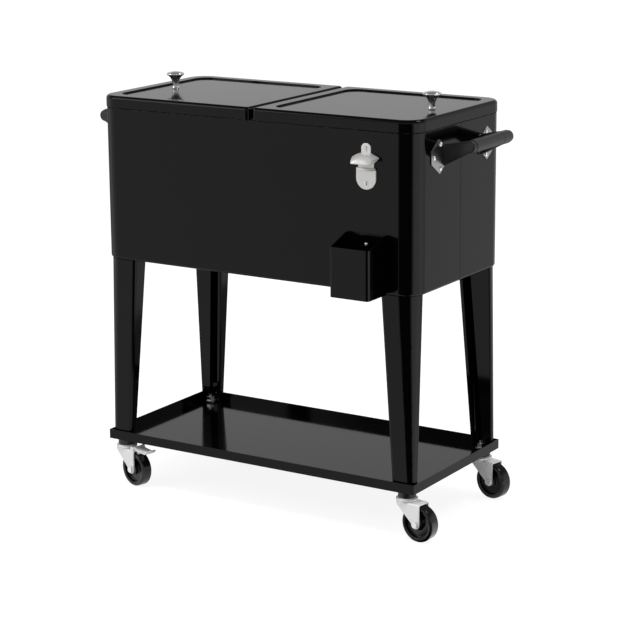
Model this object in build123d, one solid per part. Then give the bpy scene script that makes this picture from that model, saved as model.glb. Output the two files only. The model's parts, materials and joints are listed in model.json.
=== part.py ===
from build123d import *
import math
import os

# Rolling patio cooler: an insulated chest with two centre-hinged lids on four
# tapered legs, a storage tray near the floor and four swivel casters.
# Millimetres. +X runs along the length, the front faces -Y, +Z is up, and the
# floor is z = 0. Pieces are drawn about the middle of the chest and then moved,
# so that the origin lies on the floor under the middle of the whole outline.

# Lids
LID_LENGTH = 750.0
LID_DEPTH = 362.0
LID_HEIGHT = 24.5
LID_GAP = 8.0
LID_OVERHANG = 1.0
LID_SHEET = 1.5
LID_EDGE_ROUND = 7.0
LID_MIDDLE_CORNER = 8.0
LID_RIM = 27.0
LID_RECESS_DEPTH = 3.0
LID_RECESS_CORNER = 28.0
LID_PAN_WALL = 2.0
LID_PAN_START = 46.0
LID_PAN_FLANGE_RISE = 4.5
LID_PAN_DROP = 8.0
LID_PAN_CORNER = 26.0
LID_PAN_MOUTH_GAP = 6.0
GASKET_WIDTH = 7.0

# Knobs
KNOB_HEAD = 37.0
KNOB_NECK = 14.0
KNOB_FOOT = 18.0
KNOB_HEIGHT = 32.5
KNOB_WAIST = 9.0
KNOB_FOOT_HEIGHT = 1.7
KNOB_DOME = 2.8
KNOB_LIP_ROUND = 2.1
KNOB_FLARE = 0.4
KNOB_FROM_END = 66.0
KNOB_SCREW = 5.0
KNOB_SCREW_HEAD = 12.0
KNOB_SCREW_HEAD_HEIGHT = 3.0
KNOB_SCREW_GRIP = 9.0

# Chest
SHELL_HEIGHT = 316.0
SHELL_CORNER = 40.0
SHELL_SHEET = 1.5
SHELL_FOOT_ROUND = 6.0
SHELL_FLANGE = 78.0
SHELL_SPLIT = 0.8
SHELL_LAP = 10.0
SHELL_LAP_END = 12.0
SEAM_GAP = 1.5
PAN_SHEET = 1.5
FOAM_THICKNESS = 22.0
FLOOR_FOAM = 26.0
LINER_WALL = 2.0
LINER_CORNER = 30.0
LINER_FLOOR_ROUND = 14.0

# Lid hinges
HINGE_FROM_MIDDLE = 10.2
HINGE_SPREAD = 220.0
HINGE_RISE = 16.5
HINGE_PIN = 4.0
EAR_RADIUS = 4.2
EAR_THICKNESS = 6.0
EAR_FOOT_HEIGHT = 4.0
LUG_THICKNESS = 3.0
LUG_GAP = 2.0
LUG_WEB = 2.0
PIN_HEAD = 7.0
PIN_HEAD_HEIGHT = 1.5
CROSSBAR_WIDTH = 66.0
CROSSBAR_DROP = 10.0
CROSSBAR_SHEET = 2.0
CROSSBAR_DEPTH = 20.0
CROSSBAR_TAB = 32.0
RIVET = 4.0
RIVET_HEAD = 8.0
RIVET_HEAD_HEIGHT = 2.0
RIVET_SPREAD = 40.0

# Legs
LEG_HEIGHT = 394.0
LEG_INSET = 5.0
LEG_TOP_SET_BACK = 2.0
LEG_FOOT_SET_BACK = 5.0
LEG_SHEET = 1.5
LEG_TOP_WIDTH = 74.0
LEG_TOP_DEPTH = 40.0
LEG_TOP_ROUND = 38.0
LEG_FOOT_WIDTH = 49.0
LEG_FOOT_DEPTH = 18.0
LEG_FOOT_ROUND = 13.0
LEG_BEND = 8.0
LEG_BACK_BEND = 3.0
LEG_SLOT = 20.0
LEG_NOTCH = 34.0
LEG_NOTCH_HEIGHT = 34.0
LEG_PLATE = 2.5
LEG_BOLT = 6.0
LEG_BOLT_HEAD = 11.0
LEG_BOLT_HEAD_HEIGHT = 4.0
LEG_BOLT_END = 5.0
LEG_BOLT_SPREAD = 22.0

# Storage tray
TRAY_SET_IN = 1.0
TRAY_HEIGHT = 20.0
TRAY_SHEET = 1.5

# Casters
CASTER_FROM_END = 24.0
CASTER_FROM_FACE = 18.0
CASTER_TRAIL = 33.0
WHEEL_DIAMETER = 75.0
WHEEL_WIDTH = 24.0
WHEEL_ROUND = 5.0
WHEEL_RIM = 9.0
WHEEL_WEB = 10.0
HUB_DIAMETER = 24.0
AXLE = 8.0
AXLE_HEAD = 13.0
AXLE_HEAD_HEIGHT = 4.0
FORK_SHEET = 2.5
FORK_RISE = 42.0
FORK_NOSE = 14.5
FORK_SHOULDER = 7.0
FORK_TAIL = 9.0
FORK_CHEEK = 14.0
FORK_BEND = 3.5
RING_DIAMETER = 44.0
RING_HEIGHT = 6.0
RING_ROUND = 3.5
RING_STEP = 1.0
SPACER_DIAMETER = 36.0
SPACER_HEIGHT = 12.7
STEM = 10.0
STEM_HEAD = 18.0
STEM_HEAD_HEIGHT = 3.0
STEM_ABOVE_NUT = 5.0
NUT_ACROSS = 17.0
NUT_HEIGHT = 8.0
WASHER_DIAMETER = 26.0
WASHER_HEIGHT = 2.0
SWIVEL_GAP = 0.3
HUB_GAP = 0.5

# Brake pedals
PEDAL_PIN = 4.0
PEDAL_PIN_BACK = 4.0
PEDAL_PIN_RISE = 4.2
PEDAL_EAR = 9.0
PEDAL_EAR_RISE = 8.5
PEDAL_SLEEVE = 7.0
PEDAL_SHEET = 2.5
PEDAL_REACH = 40.0
PEDAL_FALL = 3.5
PEDAL_LIP = 5.0
PEDAL_SIDE_GAP = 1.0
SHOE_START = 8.0
SHOE_LENGTH = 6.0
SHOE_WIDTH = 18.0
SHOE_GAP = 2.7

# Angle of each caster's trail as it stands, in degrees from +X
CASTER_TURN = {
    "front_left": -16.0,
    "front_right": -8.0,
    "rear_left": -15.0,
    "rear_right": -12.0,
}
BRAKED_CASTERS = ("front_left", "rear_left")

# Handles
HANDLE_SHIFT = 9.0
HANDLE_REACH = 58.0
HANDLE_GRIP = 26.0
HANDLE_GRIP_HALF = 41.0
HANDLE_COLLAR = 26.6
HANDLE_HALF = 72.0
HANDLE_DROP = 33.5
HANDLE_FOOT_DROP = 54.0
HANDLE_FOOT_HEIGHT = 43.0
HANDLE_ARM_Y = 74.5
HANDLE_ARM_WIDTH = 15.0
HANDLE_ARM_HEIGHT = 24.0
HANDLE_ARM_CORNER = 4.5
HANDLE_COLLAR_ROUND = 2.0
PLATE_SHEET = 2.0
PLATE_INNER_Y = 66.0
PLATE_INNER_HEIGHT = 40.0
PLATE_SHOULDER_Y = 82.0
PLATE_SHOULDER_HEIGHT = 44.0
PLATE_PEAK_Y = 97.0
PLATE_HEIGHT = 68.0
PLATE_NOSE_Y = 130.0
PLATE_NOSE_HEIGHT = 22.0
PLATE_CORNER = 3.0
BACKING_SHEET = 2.5
HANDLE_BOLT = 5.0
HANDLE_BOLT_HEAD = 9.0
HANDLE_BOLT_HEAD_HEIGHT = 3.0
HANDLE_BOLT_HEAD_ROUND = 2.1
HANDLE_BOLT_SPREAD = 47.0
HANDLE_BOLT_Y = 94.0
HANDLE_NOSE_BOLT_Y = 119.0
HANDLE_BOLT_END = 3.0

# Bottle opener and cap catcher on the front
OPENER_FROM_END = 107.0
OPENER_TOP_DROP = 23.0
OPENER_HEIGHT = 90.0
OPENER_SHEET = 3.0
OPENER_TAB = 21.0
OPENER_TAB_ROUND = 9.5
OPENER_PLATE = 44.0
OPENER_HOOD = 70.0
OPENER_HOOD_DROP = 39.7
OPENER_HOOD_REACH = 21.5
OPENER_HOOD_WALL = 3.5
OPENER_TOOTH = 12.0
OPENER_TOOTH_DROP = 43.0
OPENER_TOOTH_REACH = 7.0
OPENER_TOOTH_HEIGHT = 4.0
OPENER_SCREW_INSET = 10.0
OPENER_LOW_SCREW_INSET = 13.0
CATCHER_WIDTH = 87.0
CATCHER_DEPTH = 68.0
CATCHER_FRONT_HEIGHT = 99.0
CATCHER_REAR_HEIGHT = 117.0
CATCHER_SHEET = 1.5
CATCHER_CORNER = 6.0
CATCHER_RIM_FLAT = 8.0
CATCHER_SCREW_DROP = 21.0
CATCHER_SCREW_SPREAD = 58.0
CATCHER_GAP = 0.3
KEYHOLE_RUN = 10.0
PANEL_SCREW = 4.0
PANEL_SCREW_HEAD = 8.5
PANEL_SCREW_HEAD_HEIGHT = 2.5
PANEL_SCREW_HEAD_ROUND = 1.5
PANEL_SCREW_END = 9.0

# Drain on the left end
DRAIN_FROM_BACK = 90.0
DRAIN_TUBE = 22.0
DRAIN_BORE = 15.0
DRAIN_FLANGE = 34.0
DRAIN_FLANGE_HEIGHT = 3.0
DRAIN_SPOUT = 14.0
DRAIN_NUT = 28.0
DRAIN_NUT_HEIGHT = 6.0
CAP_DIAMETER = 32.0
CAP_LENGTH = 17.0
CAP_WALL = 3.0
CAP_FLUTES = 12
CAP_FLUTE = 3.0

# Clearances
FIT = 0.05
RUN = 0.1
CLEAR = 0.3
HOLE = 0.25
FOAM_POCKET = 1.0

# Heights and places that follow from the sizes above
AXLE_Z = WHEEL_DIAMETER / 2
CROWN_Z = AXLE_Z + FORK_RISE
RING_Z = CROWN_Z + SWIVEL_GAP
SPACER_Z = RING_Z + RING_HEIGHT
TRAY_Z = SPACER_Z + SPACER_HEIGHT
TRAY_FLOOR_Z = TRAY_Z + TRAY_SHEET
SHELL_Z = TRAY_FLOOR_Z + LEG_HEIGHT
PAN_Z = SHELL_Z + SHELL_SHEET
FOAM_Z = PAN_Z + PAN_SHEET
LINER_Z = FOAM_Z + FLOOR_FOAM
LINER_FLOOR_Z = LINER_Z + LINER_WALL
SHELL_TOP_Z = SHELL_Z + SHELL_HEIGHT
LID_Z = SHELL_TOP_Z + SEAM_GAP
LID_TOP_Z = LID_Z + LID_HEIGHT
RECESS_Z = LID_TOP_Z - LID_RECESS_DEPTH
SKIN_Z = RECESS_Z - LID_SHEET
RIM_SKIN_Z = LID_TOP_Z - LID_SHEET
HINGE_Z = LID_Z + HINGE_RISE
CROSSBAR_Z = SHELL_TOP_Z - CROSSBAR_DROP
SHELL_LENGTH = LID_LENGTH - 2 * LID_OVERHANG
SHELL_DEPTH = LID_DEPTH - 2 * LID_OVERHANG
SHELL_X = SHELL_LENGTH / 2
SHELL_Y = SHELL_DEPTH / 2
WALL = SHELL_SHEET + FOAM_THICKNESS + LINER_WALL
MOUTH_LENGTH = SHELL_LENGTH - 2 * WALL
MOUTH_DEPTH = SHELL_DEPTH - 2 * WALL
LEG_X = SHELL_X - LEG_INSET
LEG_TOP_Y = SHELL_Y - LEG_TOP_SET_BACK
LEG_FOOT_Y = SHELL_Y - LEG_FOOT_SET_BACK
TRAY_LENGTH = SHELL_LENGTH - 2 * TRAY_SET_IN
TRAY_DEPTH = SHELL_DEPTH
CASTER_X = LEG_X - CASTER_FROM_END
CASTER_Y = LEG_FOOT_Y - CASTER_FROM_FACE
KNOB_X = LID_LENGTH / 2 - KNOB_FROM_END
OPENER_X = SHELL_X - OPENER_FROM_END
DRAIN_Y = SHELL_Y - DRAIN_FROM_BACK
GRIP_X = SHELL_X + HANDLE_REACH
GRIP_Z = SHELL_TOP_Z - HANDLE_DROP
HANDLE_FOOT_Z = SHELL_TOP_Z - HANDLE_FOOT_DROP
CATCHER_Y = -SHELL_Y - CATCHER_GAP
CATCHER_FRONT_Y = CATCHER_Y - CATCHER_DEPTH
CATCHER_SCREW_Z = SHELL_Z + CATCHER_REAR_HEIGHT - CATCHER_SCREW_DROP
OPENER_TOP_Z = SHELL_TOP_Z - OPENER_TOP_DROP
OPENER_BOTTOM_Z = OPENER_TOP_Z - OPENER_HEIGHT
DRAIN_Z = LINER_FLOOR_Z + LINER_FLOOR_ROUND + DRAIN_NUT / 2 + CLEAR

CORNERS = {
    "front_left": (-1, -1),
    "front_right": (1, -1),
    "rear_left": (-1, 1),
    "rear_right": (1, 1),
}


def slab(length, depth, height, at=(0, 0, 0)):
    """Box that stands on z = at[2] and is centred on at[0], at[1]."""
    return Pos(*at) * Box(length, depth, height, align=(Align.CENTER, Align.CENTER, Align.MIN))


def rod(radius, height, at=(0, 0, 0)):
    """Upright cylinder that stands on at."""
    return Pos(*at) * Cylinder(radius, height, align=(Align.CENTER, Align.CENTER, Align.MIN))


def rod_y(radius, start, end, x, z):
    """Cylinder along Y from start to end."""
    middle = (start + end) / 2
    return Pos(x, middle, z) * Rot(90, 0, 0) * Cylinder(radius, abs(end - start))


def rod_x(radius, start, end, y, z):
    """Cylinder along X from start to end."""
    middle = (start + end) / 2
    return Pos(middle, y, z) * Rot(0, 90, 0) * Cylinder(radius, abs(end - start))


def rounded_block(length, depth, corner, height, z):
    """Upright block with rounded vertical edges."""
    return Pos(0, 0, z) * extrude(RectangleRounded(length, depth, corner), height)


def bottom_edges(solid):
    """Edges round the lowest face of a solid."""
    return solid.faces().sort_by(Axis.Z)[0].outer_wire().edges()


def top_edges(solid):
    """Edges round the highest face of a solid."""
    return solid.faces().sort_by(Axis.Z)[-1].outer_wire().edges()


def mirrored(shape):
    """The same piece on the other side of the middle plane."""
    return mirror(shape, about=Plane.YZ)


def leg_bolt_places():
    """Centres of the bolts that hold each leg's top plate."""
    middle_x = LEG_X - LEG_TOP_WIDTH / 2
    middle_y = LEG_TOP_Y - LEG_TOP_DEPTH / 2
    places = []
    for sx, sy in CORNERS.values():
        for step in (-1, 1):
            places.append((sx * (middle_x + step * LEG_BOLT_SPREAD / 2), sy * middle_y))
    return places


def handle_bolt_places():
    """Distances from the handle's middle and heights of the three bolts in a handle plate."""
    return (
        (HANDLE_BOLT_Y, HANDLE_FOOT_Z + HANDLE_BOLT_SPREAD / 2),
        (HANDLE_BOLT_Y, HANDLE_FOOT_Z - HANDLE_BOLT_SPREAD / 2),
        (HANDLE_NOSE_BOLT_Y, HANDLE_FOOT_Z),
    )


def opener_screw_heights():
    """Heights of the two opener screws."""
    return (OPENER_TOP_Z - OPENER_SCREW_INSET, OPENER_BOTTOM_Z + OPENER_LOW_SCREW_INSET)


def catcher_screw_heights():
    """Heights of the two screws that the cap catcher hangs on."""
    return (CATCHER_SCREW_Z, CATCHER_SCREW_Z - CATCHER_SCREW_SPREAD)


# Chest
def make_jacket():
    """Outer steel jacket with a turned-in bottom flange, before it is split in two."""
    inner_round = SHELL_FOOT_ROUND - SHELL_SHEET
    outer = rounded_block(SHELL_LENGTH, SHELL_DEPTH, SHELL_CORNER, SHELL_HEIGHT, SHELL_Z)
    outer = fillet(bottom_edges(outer), SHELL_FOOT_ROUND)
    inner = rounded_block(SHELL_LENGTH - 2 * SHELL_SHEET, SHELL_DEPTH - 2 * SHELL_SHEET,
                          SHELL_CORNER - SHELL_SHEET, SHELL_HEIGHT, PAN_Z)
    inner = fillet(bottom_edges(inner), inner_round)
    opening = rounded_block(SHELL_LENGTH - 2 * SHELL_FLANGE, SHELL_DEPTH - 2 * SHELL_FLANGE,
                            LINER_FLOOR_ROUND, SHELL_SHEET, SHELL_Z)
    jacket = outer - inner - opening
    for x, y in leg_bolt_places():
        jacket -= rod(LEG_BOLT / 2 + HOLE, SHELL_SHEET, (x, y, SHELL_Z))
    for z in opener_screw_heights() + catcher_screw_heights():
        jacket -= rod_y(PANEL_SCREW / 2 + HOLE, -SHELL_Y, -SHELL_Y + SHELL_SHEET, OPENER_X, z)
    for side in (-1, 1):
        for end in (-1, 1):
            for y, z in handle_bolt_places():
                jacket -= rod_x(HANDLE_BOLT / 2 + HOLE, side * SHELL_X, side * (SHELL_X - SHELL_SHEET),
                                side * HANDLE_SHIFT + end * y, z)
    return jacket - rod_x(DRAIN_TUBE / 2 + HOLE, -SHELL_X, -SHELL_X + SHELL_SHEET, DRAIN_Y, DRAIN_Z)


def make_shells():
    """Front and rear halves of the jacket, lapped behind the upright seams in its ends."""
    jacket = make_jacket()
    half = slab(SHELL_LENGTH, SHELL_DEPTH, SHELL_HEIGHT, (0, 0, SHELL_Z))
    front = jacket & (Pos(0, -(SHELL_DEPTH + SHELL_SPLIT) / 2, 0) * half)
    rear = jacket & (Pos(0, (SHELL_DEPTH + SHELL_SPLIT) / 2, 0) * half)
    lap_height = SHELL_HEIGHT - 2 * SHELL_LAP_END
    for side in (-1, 1):
        lap_x = side * (SHELL_X - 1.5 * SHELL_SHEET)
        front += slab(SHELL_SHEET, 2 * SHELL_LAP, lap_height, (lap_x, 0, SHELL_Z + SHELL_LAP_END))
    return {"front_shell": front, "rear_shell": rear}


def make_bottom_pan():
    """Closing sheet that lies on the jacket's bottom flange."""
    inset = SHELL_SHEET + SHELL_FOOT_ROUND
    pan = rounded_block(SHELL_LENGTH - 2 * inset, SHELL_DEPTH - 2 * inset, SHELL_CORNER - inset,
                        PAN_SHEET, PAN_Z)
    for x, y in leg_bolt_places():
        pan -= rod(LEG_BOLT / 2 + HOLE, PAN_SHEET, (x, y, PAN_Z))
    return pan


def liner_block(grow, z, height):
    """Block of the liner's outer shape, grown by a clearance."""
    return rounded_block(MOUTH_LENGTH + 2 * (LINER_WALL + grow), MOUTH_DEPTH + 2 * (LINER_WALL + grow),
                         LINER_CORNER + LINER_WALL + grow, height, z)


def make_liner():
    """Moulded tub with a flat rim that covers the insulation."""
    inset = SHELL_SHEET + CLEAR
    outer = liner_block(0, LINER_Z, SHELL_TOP_Z - LINER_Z)
    outer = fillet(bottom_edges(outer), LINER_FLOOR_ROUND + LINER_WALL)
    rim = rounded_block(SHELL_LENGTH - 2 * inset, SHELL_DEPTH - 2 * inset, SHELL_CORNER - inset,
                        LINER_WALL, SHELL_TOP_Z - LINER_WALL)
    hollow = rounded_block(MOUTH_LENGTH, MOUTH_DEPTH, LINER_CORNER, SHELL_TOP_Z - LINER_FLOOR_Z,
                           LINER_FLOOR_Z)
    hollow = fillet(bottom_edges(hollow), LINER_FLOOR_ROUND)
    liner = outer + rim - hollow
    for x, y, z in rivet_places():
        liner -= rod_y(RIVET / 2 + HOLE, y, y + math.copysign(LINER_WALL, y), x, z)
    wall_x = -MOUTH_LENGTH / 2
    return liner - rod_x(DRAIN_TUBE / 2 + HOLE, wall_x - LINER_WALL, wall_x, DRAIN_Y, DRAIN_Z)


def make_foam():
    """Insulation between the jacket and the tub: a floor board and four mitred wall boards."""
    inset = SHELL_SHEET + CLEAR
    top_z = SHELL_TOP_Z - LINER_WALL
    foam = rounded_block(SHELL_LENGTH - 2 * inset, SHELL_DEPTH - 2 * inset, SHELL_CORNER - inset,
                         top_z - FOAM_Z, FOAM_Z)
    foam = fillet(bottom_edges(foam), SHELL_FOOT_ROUND)
    foam -= liner_block(CLEAR, LINER_Z, top_z - LINER_Z)
    for x, y in leg_bolt_places():
        foam -= rod(LEG_BOLT / 2 + FOAM_POCKET, LEG_BOLT_END + FOAM_POCKET, (x, y, FOAM_Z))
    for z in opener_screw_heights() + catcher_screw_heights():
        start = -SHELL_Y + SHELL_SHEET
        foam -= rod_y(PANEL_SCREW / 2 + FOAM_POCKET, start, start + PANEL_SCREW_END + FOAM_POCKET,
                      OPENER_X, z)
    between_laps = SHELL_LENGTH - 2 * (2 * SHELL_SHEET + FOAM_POCKET)
    lap = slab(SHELL_LENGTH, 2 * (SHELL_LAP + FOAM_POCKET), SHELL_HEIGHT, (0, 0, FOAM_Z))
    foam -= lap - slab(between_laps, SHELL_DEPTH, SHELL_HEIGHT, (0, 0, FOAM_Z))
    pocket_depth = BACKING_SHEET + HANDLE_BOLT_END + FOAM_POCKET
    pocket_width = PLATE_NOSE_Y - PLATE_INNER_Y + 2 * FOAM_POCKET
    pocket_y = (PLATE_NOSE_Y + PLATE_INNER_Y) / 2
    pocket_height = PLATE_HEIGHT + 2 * FOAM_POCKET
    for side in (-1, 1):
        for end in (-1, 1):
            pocket_x = side * (SHELL_X - SHELL_SHEET - pocket_depth / 2)
            pocket_z = HANDLE_FOOT_Z - pocket_height / 2
            pocket_at = (pocket_x, side * HANDLE_SHIFT + end * pocket_y, pocket_z)
            foam -= slab(pocket_depth, pocket_width, pocket_height, pocket_at)
    foam -= rod_x(DRAIN_TUBE / 2 + FOAM_POCKET, -SHELL_X, -MOUTH_LENGTH / 2, DRAIN_Y, DRAIN_Z)
    foam -= slab(SHELL_LENGTH, SHELL_DEPTH, CLEAR, (0, 0, LINER_Z))
    mitre_length = SHELL_CORNER + 2 * FOAM_THICKNESS
    mitre = slab(mitre_length, CLEAR, SHELL_HEIGHT, (mitre_length / 2, 0, LINER_Z))
    for sx, sy in CORNERS.values():
        start = (sx * (MOUTH_LENGTH / 2 - LINER_CORNER), sy * (MOUTH_DEPTH / 2 - LINER_CORNER), 0)
        foam -= Pos(*start) * Rot(0, 0, math.degrees(math.atan2(sy, sx))) * mitre
    return Compound(foam.solids())


# Crossbar and lid hinges
def rivet_places():
    """Centres of the crossbar's rivets, on the tub's inner faces."""
    places = []
    for side in (-1, 1):
        for step in (-1, 1):
            z = CROSSBAR_Z - (CROSSBAR_DEPTH + CROSSBAR_TAB) / 2
            places.append((step * RIVET_SPREAD / 2, side * MOUTH_DEPTH / 2, z))
    return places


def make_crossbar():
    """Channel across the mouth, with end tabs against the tub's front and back."""
    bar = slab(CROSSBAR_WIDTH, MOUTH_DEPTH, CROSSBAR_DEPTH, (0, 0, CROSSBAR_Z - CROSSBAR_DEPTH))
    bar -= slab(CROSSBAR_WIDTH - 2 * CROSSBAR_SHEET, MOUTH_DEPTH, CROSSBAR_DEPTH - CROSSBAR_SHEET,
                (0, 0, CROSSBAR_Z - CROSSBAR_DEPTH))
    for side in (-1, 1):
        tab_y = side * (MOUTH_DEPTH - CROSSBAR_SHEET) / 2
        bar += slab(CROSSBAR_WIDTH, CROSSBAR_SHEET, CROSSBAR_TAB, (0, tab_y, CROSSBAR_Z - CROSSBAR_TAB))
    for x, y, z in rivet_places():
        bar -= rod_y(RIVET / 2 + HOLE, y, y - math.copysign(CROSSBAR_SHEET, y), x, z)
    return bar


def make_rivets():
    """Rivets through the crossbar's tabs and the tub's wall."""
    rivets = []
    for x, y, z in rivet_places():
        inward = -math.copysign(1, y)
        seat = y + inward * CROSSBAR_SHEET
        shank = rod_y(RIVET / 2, y - inward * LINER_WALL, seat, x, z)
        head = rod_y(RIVET_HEAD / 2, seat, seat + inward * RIVET_HEAD_HEIGHT, x, z)
        rivets.append(shank + head)
    return Compound(rivets)


def make_ears():
    """Two hinge brackets on the crossbar, each with an eye for either lid."""
    profile = Pos(0, CROSSBAR_Z + EAR_FOOT_HEIGHT / 2) * Rectangle(CROSSBAR_WIDTH, EAR_FOOT_HEIGHT)
    stalk_height = HINGE_Z - CROSSBAR_Z
    for side in (-1, 1):
        stalk = Rectangle(2 * EAR_RADIUS, stalk_height)
        profile += Pos(side * HINGE_FROM_MIDDLE, CROSSBAR_Z + stalk_height / 2) * stalk
        profile += Pos(side * HINGE_FROM_MIDDLE, HINGE_Z) * Circle(EAR_RADIUS)
    for side in (-1, 1):
        profile -= Pos(side * HINGE_FROM_MIDDLE, HINGE_Z) * Circle(HINGE_PIN / 2 + FIT)
    ear = extrude(Plane.XZ * profile, EAR_THICKNESS / 2, both=True)
    return Compound([Pos(0, end * HINGE_SPREAD / 2, 0) * ear for end in (-1, 1)])


def make_hinge_pins():
    """Headed pins that stay in the brackets while the lids turn on them."""
    reach = EAR_THICKNESS / 2 + LUG_GAP + LUG_THICKNESS + CLEAR
    pin = rod_y(HINGE_PIN / 2, -reach, reach, 0, HINGE_Z)
    pin += rod_y(PIN_HEAD / 2, reach, reach + PIN_HEAD_HEIGHT, 0, HINGE_Z)
    pins = []
    for side in (-1, 1):
        for end in (-1, 1):
            pins.append(Pos(side * HINGE_FROM_MIDDLE, end * HINGE_SPREAD / 2, 0) * pin)
    return Compound(pins)


# Lids, drawn for the right side
def lid_outline(inset, end_corner, middle_corner):
    """Plan outline of the right lid, drawn in by an inset."""
    start = LID_GAP / 2 + inset
    length = LID_LENGTH / 2 - inset - start
    outline = Pos(start + length / 2, 0) * Rectangle(length, LID_DEPTH - 2 * inset)
    outline = fillet(outline.vertices().group_by(Axis.X)[-1], end_corner - inset)
    return fillet(outline.vertices().group_by(Axis.X)[0], middle_corner - inset)


def recess_outline(grow):
    """Plan outline of the sunken panel, grown by the sheet it is pressed in."""
    start = LID_GAP / 2 + LID_RIM - grow
    length = LID_LENGTH / 2 - LID_RIM + grow - start
    width = LID_DEPTH - 2 * (LID_RIM - grow)
    return Pos(start + length / 2, 0) * RectangleRounded(length, width, LID_RECESS_CORNER + grow)


def make_lid_cover():
    """Pressed steel cover with a rounded edge, a raised rim and a sunken panel."""
    end_corner = SHELL_CORNER + LID_OVERHANG
    outer = Pos(0, 0, LID_Z) * extrude(lid_outline(0, end_corner, LID_MIDDLE_CORNER), LID_HEIGHT)
    outer = fillet(top_edges(outer), LID_EDGE_ROUND)
    outer -= Pos(0, 0, RECESS_Z) * extrude(recess_outline(0), LID_RECESS_DEPTH)
    hollow = Pos(0, 0, LID_Z) * extrude(lid_outline(LID_SHEET, end_corner, LID_MIDDLE_CORNER),
                                        LID_HEIGHT - LID_SHEET)
    hollow = fillet(top_edges(hollow), LID_EDGE_ROUND - LID_SHEET)
    hollow -= Pos(0, 0, SKIN_Z) * extrude(recess_outline(LID_SHEET), LID_RECESS_DEPTH)
    cover = outer - hollow
    notch_height = RIM_SKIN_Z - LUG_WEB - LID_Z
    for end in (-1, 1):
        notch_at = (LID_GAP / 2 + LID_SHEET / 2, end * HINGE_SPREAD / 2, LID_Z)
        cover -= slab(4 * LID_SHEET, EAR_THICKNESS + 2 * LUG_GAP, notch_height, notch_at)
    return cover - rod(KNOB_SCREW / 2 + HOLE, LID_SHEET, (KNOB_X, 0, SKIN_Z))


def lid_pan_block(grow, z, height):
    """Block of the sunk part of the lid's inner pan, grown by a wall."""
    start = LID_PAN_START + LID_PAN_WALL - grow
    end = MOUTH_LENGTH / 2 - LID_PAN_MOUTH_GAP - LID_PAN_WALL + grow
    width = MOUTH_DEPTH - 2 * (LID_PAN_MOUTH_GAP + LID_PAN_WALL - grow)
    outline = RectangleRounded(end - start, width, LID_PAN_CORNER + grow)
    return Pos((start + end) / 2, 0, z) * extrude(outline, height)


def lid_flange_outline(inset):
    """Plan outline of the inner pan's flange, inside the cover's skirt."""
    gap = LID_SHEET + CLEAR + inset
    start = LID_PAN_START - GASKET_WIDTH
    end = LID_LENGTH / 2 - gap
    width = LID_DEPTH - 2 * gap
    outline = Pos((start + inset + end) / 2, 0) * Rectangle(end - start - inset, width)
    return fillet(outline.vertices().group_by(Axis.X)[-1], SHELL_CORNER + LID_OVERHANG - gap)


def make_lid_pan():
    """Moulded inner pan: a flange inside the skirt and a panel that dips into the mouth."""
    flange_z = LID_Z + LID_PAN_FLANGE_RISE
    floor_z = SHELL_TOP_Z - LID_PAN_DROP
    flange = Pos(0, 0, flange_z) * extrude(lid_flange_outline(0), LID_PAN_WALL)
    dip = lid_pan_block(LID_PAN_WALL, floor_z, flange_z + LID_PAN_WALL - floor_z)
    hollow = lid_pan_block(0, floor_z + LID_PAN_WALL, flange_z - floor_z)
    return flange + dip - hollow


def make_lid_foam():
    """Insulation between the cover's skin and the inner pan."""
    flange_top = LID_Z + LID_PAN_FLANGE_RISE + LID_PAN_WALL
    floor_top = SHELL_TOP_Z - LID_PAN_DROP + LID_PAN_WALL
    top_z = SKIN_Z - CLEAR
    inset = LID_EDGE_ROUND
    slab_part = Pos(0, 0, flange_top) * extrude(lid_flange_outline(inset), top_z - flange_top)
    plug = lid_pan_block(-CLEAR, floor_top, flange_top - floor_top)
    foam = slab_part + plug
    pocket = KNOB_SCREW_HEAD_HEIGHT + FOAM_POCKET
    return foam - rod(KNOB_SCREW_HEAD / 2 + FOAM_POCKET, pocket, (KNOB_X, 0, top_z - pocket))


def make_gasket():
    """Soft seal under the inner pan's flange, round the mouth."""
    flange_z = LID_Z + LID_PAN_FLANGE_RISE
    base_z = SHELL_TOP_Z + CLEAR
    ring = lid_pan_block(LID_PAN_WALL + CLEAR + GASKET_WIDTH, base_z, flange_z - base_z)
    return ring - lid_pan_block(LID_PAN_WALL + CLEAR, base_z, flange_z - base_z)


def make_lugs():
    """Brackets under the lid's rim, one lug on each side of each hinge eye."""
    reach = EAR_THICKNESS / 2 + LUG_GAP + LUG_THICKNESS
    web_z = RIM_SKIN_Z - LUG_WEB
    web_start = LID_GAP / 2 + LID_EDGE_ROUND + CLEAR
    web_end = LID_GAP / 2 + LID_RIM - LID_SHEET - CLEAR
    brackets = []
    for end in (-1, 1):
        y = end * HINGE_SPREAD / 2
        bracket = slab(web_end - web_start, 2 * reach, LUG_WEB, ((web_start + web_end) / 2, y, web_z))
        lug = rod_y(EAR_RADIUS, -reach, reach, HINGE_FROM_MIDDLE, HINGE_Z)
        lug += slab(2 * EAR_RADIUS, 2 * reach, web_z - HINGE_Z,
                    (HINGE_FROM_MIDDLE + EAR_RADIUS, 0, HINGE_Z))
        lug -= slab(6 * EAR_RADIUS, EAR_THICKNESS + 2 * LUG_GAP, 2 * EAR_RADIUS + LID_HEIGHT,
                    (HINGE_FROM_MIDDLE, 0, HINGE_Z - 2 * EAR_RADIUS))
        lug -= rod_y(HINGE_PIN / 2 + RUN, -reach, reach, HINGE_FROM_MIDDLE, HINGE_Z)
        brackets.append(bracket + Pos(0, y, 0) * lug)
    return Compound(brackets)


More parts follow.
